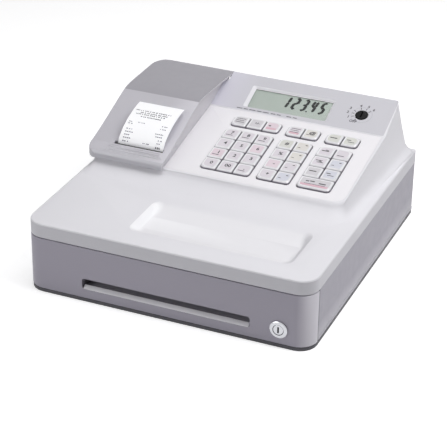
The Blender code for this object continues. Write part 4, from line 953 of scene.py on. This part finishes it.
# %% Curl of the receipt
# Places along the sheet's middle line, to the back and up, in mm.
CURL = ((-9.2, 108.8), (-9.0, 111.0), (-8.0, 114.0), (-5.2, 117.7), (-1.0, 121.3), (4.0, 124.7),
        (10.0, 127.9), (17.0, 130.9), (25.0, 133.6), (33.0, 135.8), (41.0, 137.3), (48.5, 138.2))
PAPER_X = (-132.4, -76.4)
SHEET_THICK = 0.2
PRINT_LIFT = 0.17
PRINT_SEED = 7


def fine_line(points, parts=8):
    """A smooth curve through points, as many short steps."""
    points = [Vector(p) for p in points]
    ends = [points[0], *points, points[-1]]
    fine = []
    for a, b, c, d in zip(ends, ends[1:], ends[2:], ends[3:]):
        for i in range(parts):
            t = i / parts
            fine.append(0.5 * (2 * b + (c - a) * t + (2 * a - 5 * b + 4 * c - d) * t * t
                               + (3 * b - a - 3 * c + d) * t ** 3))
    return fine + [points[-1]]


curl = fine_line(CURL)
steps = [(b - a).length for a, b in zip(curl, curl[1:])]
paper_length = sum(steps)


def on_curl(length, lift=0.0):
    """The place on the sheet at a length from its foot, lifted off its printed side."""
    for start, end, step in zip(curl, curl[1:], steps):
        if length <= step or end is curl[-1]:
            along = (end - start) / step
            return start + along * length + Vector((-along.y, along.x)) * lift
        length -= step


def lay_on_curl(piece, lift=0.0):
    """Moves a flat shape in mm, across and along, onto the curled sheet."""
    for vertex in piece.data.vertices:
        spot = on_curl(vertex.co.y, lift)
        vertex.co = Vector((vertex.co.x, spot.x, spot.y)) * MM
    return piece


def finish_sheet(piece, material):
    """Gives a piece of the receipt its finish and lets it ride with the cover's sheet."""
    coat(piece, material)
    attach(piece, body_of("receipt_paper"))


print("sheet", round(paper_length, 1), "mm long")

# %% Sheet of the receipt
select_only()
bpy.ops.mesh.primitive_grid_add(x_subdivisions=6, y_subdivisions=72, size=1.0)
sheet = bpy.context.object
sheet.name = sheet.data.name = "receipt_sheet"
sheet.data.transform(Matrix.Translation(((PAPER_X[0] + PAPER_X[1]) / 2, paper_length / 2, 0.0))
                     @ Matrix.Diagonal((PAPER_X[1] - PAPER_X[0], paper_length - 0.01, 1.0, 1.0)))
lay_on_curl(sheet)
wall = sheet.modifiers.new("paper", "SOLIDIFY")
wall.thickness = SHEET_THICK * MM
wall.offset = 0.0
bpy.ops.object.modifier_apply(modifier=wall.name)
bpy.ops.object.shade_smooth_by_angle(angle=math.radians(40.0))
finish_sheet(sheet, thermal)
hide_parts("receipt_paper")
print("sheet", len(sheet.data.polygons), "faces")

# %% Print on the receipt
thermal_black, tree, _ = new_material("thermal_print_dark", "4B4A52", 0.6)
mottled(tree, "34333A", "6B6A72", 0.9)
thermal_faint = thermal_black.copy()
thermal_faint.name = "thermal_print_faint"
for node in thermal_faint.node_tree.nodes:
    if node.type == "MIX":
        node.inputs[6].default_value, node.inputs[7].default_value = linear("6E6D76"), linear("A3A2AA")

chance = random.Random(PRINT_SEED)


def print_row(along, start, end, high=1.5):
    """A row of dashes between two places across the sheet, like a printed line of words."""
    row = []
    x = start
    while x < end:
        wide = chance.uniform(0.8, 2.2)
        row.append(dash(PAPER_X[0] + x + wide / 2, along, 0.0, wide, high))
        x += wide + chance.choice((0.5, 0.6, 1.5))
    return row


# Each row: its place along the sheet, then where it starts and ends across it, in mm.
HEADER = ((52.0, 3.6, 48.0), (48.6, 10.4, 43.0), (45.6, 6.0, 42.5), (41.8, 13.4, 38.5))
DETAILS = ((32.2, 14.5, 22.5), (31.8, 3.4, 8.5), (28.8, 3.4, 7.6), (32.4, 44.0, 50.5), (28.2, 43.5, 50.5),
           (6.6, 29.5, 38.5))
strong = [shape for along, start, end in HEADER for shape in print_row(along, start, end)]
strong += print_row(4.4, 45.5, 51.0, 2.2)
faint = [shape for along, start, end in DETAILS for shape in print_row(along, start, end, 1.3)]
for along in (21.2, 17.2, 13.4, 9.6, 5.6):
    faint += print_row(along, 4.2, 4.2 + chance.uniform(6.5, 10.0), 1.3)
for along, start in ((20.8, 40.5), (17.2, 42.0), (12.8, 46.5), (9.2, 46.0)):
    faint += print_row(along, start, 50.5, 1.3)
for name, shapes, ink in (("receipt_print_dark", strong, thermal_black),
                          ("receipt_print_faint", faint, thermal_faint)):
    finish_sheet(lay_on_curl(upright(join_pieces(name, shapes)), PRINT_LIFT), ink)
print("print", len(strong) + len(faint), "dashes")

# %% [markdown]
# The finger slot of the drawer has a rolled lower lip. Its slope faces up and forward, so it catches more
# light than the drawer's face. Its colour is also painted much paler, as painted light, which makes the room
# behind it look deep. It starts as a box; its top front edge is pulled down to make the slope, and the crest
# is rounded.

# %% Lip of the finger slot
SCOOP_HALF = 95.4
SCOOP_LOW = 15.55
SCOOP_HIGH = 20.0
SCOOP_DEEP = (0.25, 4.4)
SCOOP_ROUND = 1.3
SCOOP_FOOT = 0.6

scoop = add_plate("handle_scoop", (-SCOOP_HALF, FACE_Y + SCOOP_DEEP[0], SCOOP_LOW - SCOOP_FOOT),
                  (SCOOP_HALF, FACE_Y + SCOOP_DEEP[1], SCOOP_HIGH))
select_only(scoop)
bpy.ops.object.mode_set(mode="EDIT")
bpy.ops.mesh.select_mode(type="VERT")
bpy.ops.mesh.select_all(action="DESELECT")
work = bmesh.from_edit_mesh(scoop.data)
for vertex in work.verts:
    vertex.select_set(vertex.co.y < FACE_Y + 2.0 and vertex.co.z > SCOOP_LOW)
work.select_flush(True)
bmesh.update_edit_mesh(scoop.data)
bpy.ops.transform.translate(value=(0.0, 0.0, SCOOP_LOW - SCOOP_HIGH))
bpy.ops.object.mode_set(mode="OBJECT")
round_edges(scoop, SCOOP_ROUND, 5, lambda a, b: min(a.z, b.z) > SCOOP_HIGH - 0.1 and round(a.x) != round(b.x))
scoop.data.transform(Matrix.Scale(MM, 4))
# The lip's pale colour is painted light.
coat(scoop, lip_light_abs)
bpy.ops.object.shade_smooth_by_angle(angle=math.radians(40.0))
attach(scoop, body_of("drawer_front"))
print("scoop", len(scoop.data.polygons), "faces")

# %% [markdown]
# A black bar with fine teeth lies in the slot in front of the paper, and the receipt is torn off against it.
# It is a thin plate. One tooth is extruded from a triangle and an array repeats it along the bar.

# %% Tear bar
BAR_X = (-136.2, -75.8)
BAR_Y = (-12.2, -9.75)
BAR_Z = 110.45
BAR_RISE = math.radians(16.0)
TOOTH = 1.2
TOOTH_DEEP = 0.6

tooth_count = int((BAR_X[1] - BAR_X[0]) / TOOTH)
select_only()
bpy.ops.mesh.primitive_circle_add(vertices=3, radius=TOOTH * 0.5, fill_type="NGON")
tooth = bpy.context.object
for vertex, spot in zip(tooth.data.vertices, ((0.0, 0.0), (TOOTH, 0.0), (TOOTH / 2, 0.55))):
    vertex.co = (BAR_X[0] + spot[0], BAR_Y[1] + spot[1] - TOOTH_DEEP, -0.5)
bpy.ops.object.mode_set(mode="EDIT")
bpy.ops.mesh.select_all(action="SELECT")
bpy.ops.mesh.extrude_region_move(TRANSFORM_OT_translate={"value": (0.0, 0.0, 0.5)})
bpy.ops.mesh.select_all(action="SELECT")
bpy.ops.mesh.normals_make_consistent(inside=False)
bpy.ops.object.mode_set(mode="OBJECT")
teeth = tooth.modifiers.new("teeth", "ARRAY")
teeth.count = tooth_count
teeth.relative_offset_displace = (1.0, 0.0, 0.0)
bpy.ops.object.modifier_apply(modifier=teeth.name)
bar = add_plate("tear_bar", (BAR_X[0], BAR_Y[0], -0.8), (BAR_X[1], BAR_Y[1] - TOOTH_DEEP, 0.0))
tear_bar = join_pieces("tear_bar", [bar, tooth])
middle = Vector((0.0, sum(BAR_Y) / 2, 0.0))
turn = Matrix.Translation(middle) @ Matrix.Rotation(BAR_RISE, 4, "X") @ Matrix.Translation(-middle)
tear_bar.data.transform(Matrix.Scale(MM, 4) @ Matrix.Translation((0.0, 0.0, BAR_Z)) @ turn)
coat(tear_bar, black_acetal)
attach(tear_bar, body_of("printer_cover"))
print("tear bar", tooth_count, "teeth")
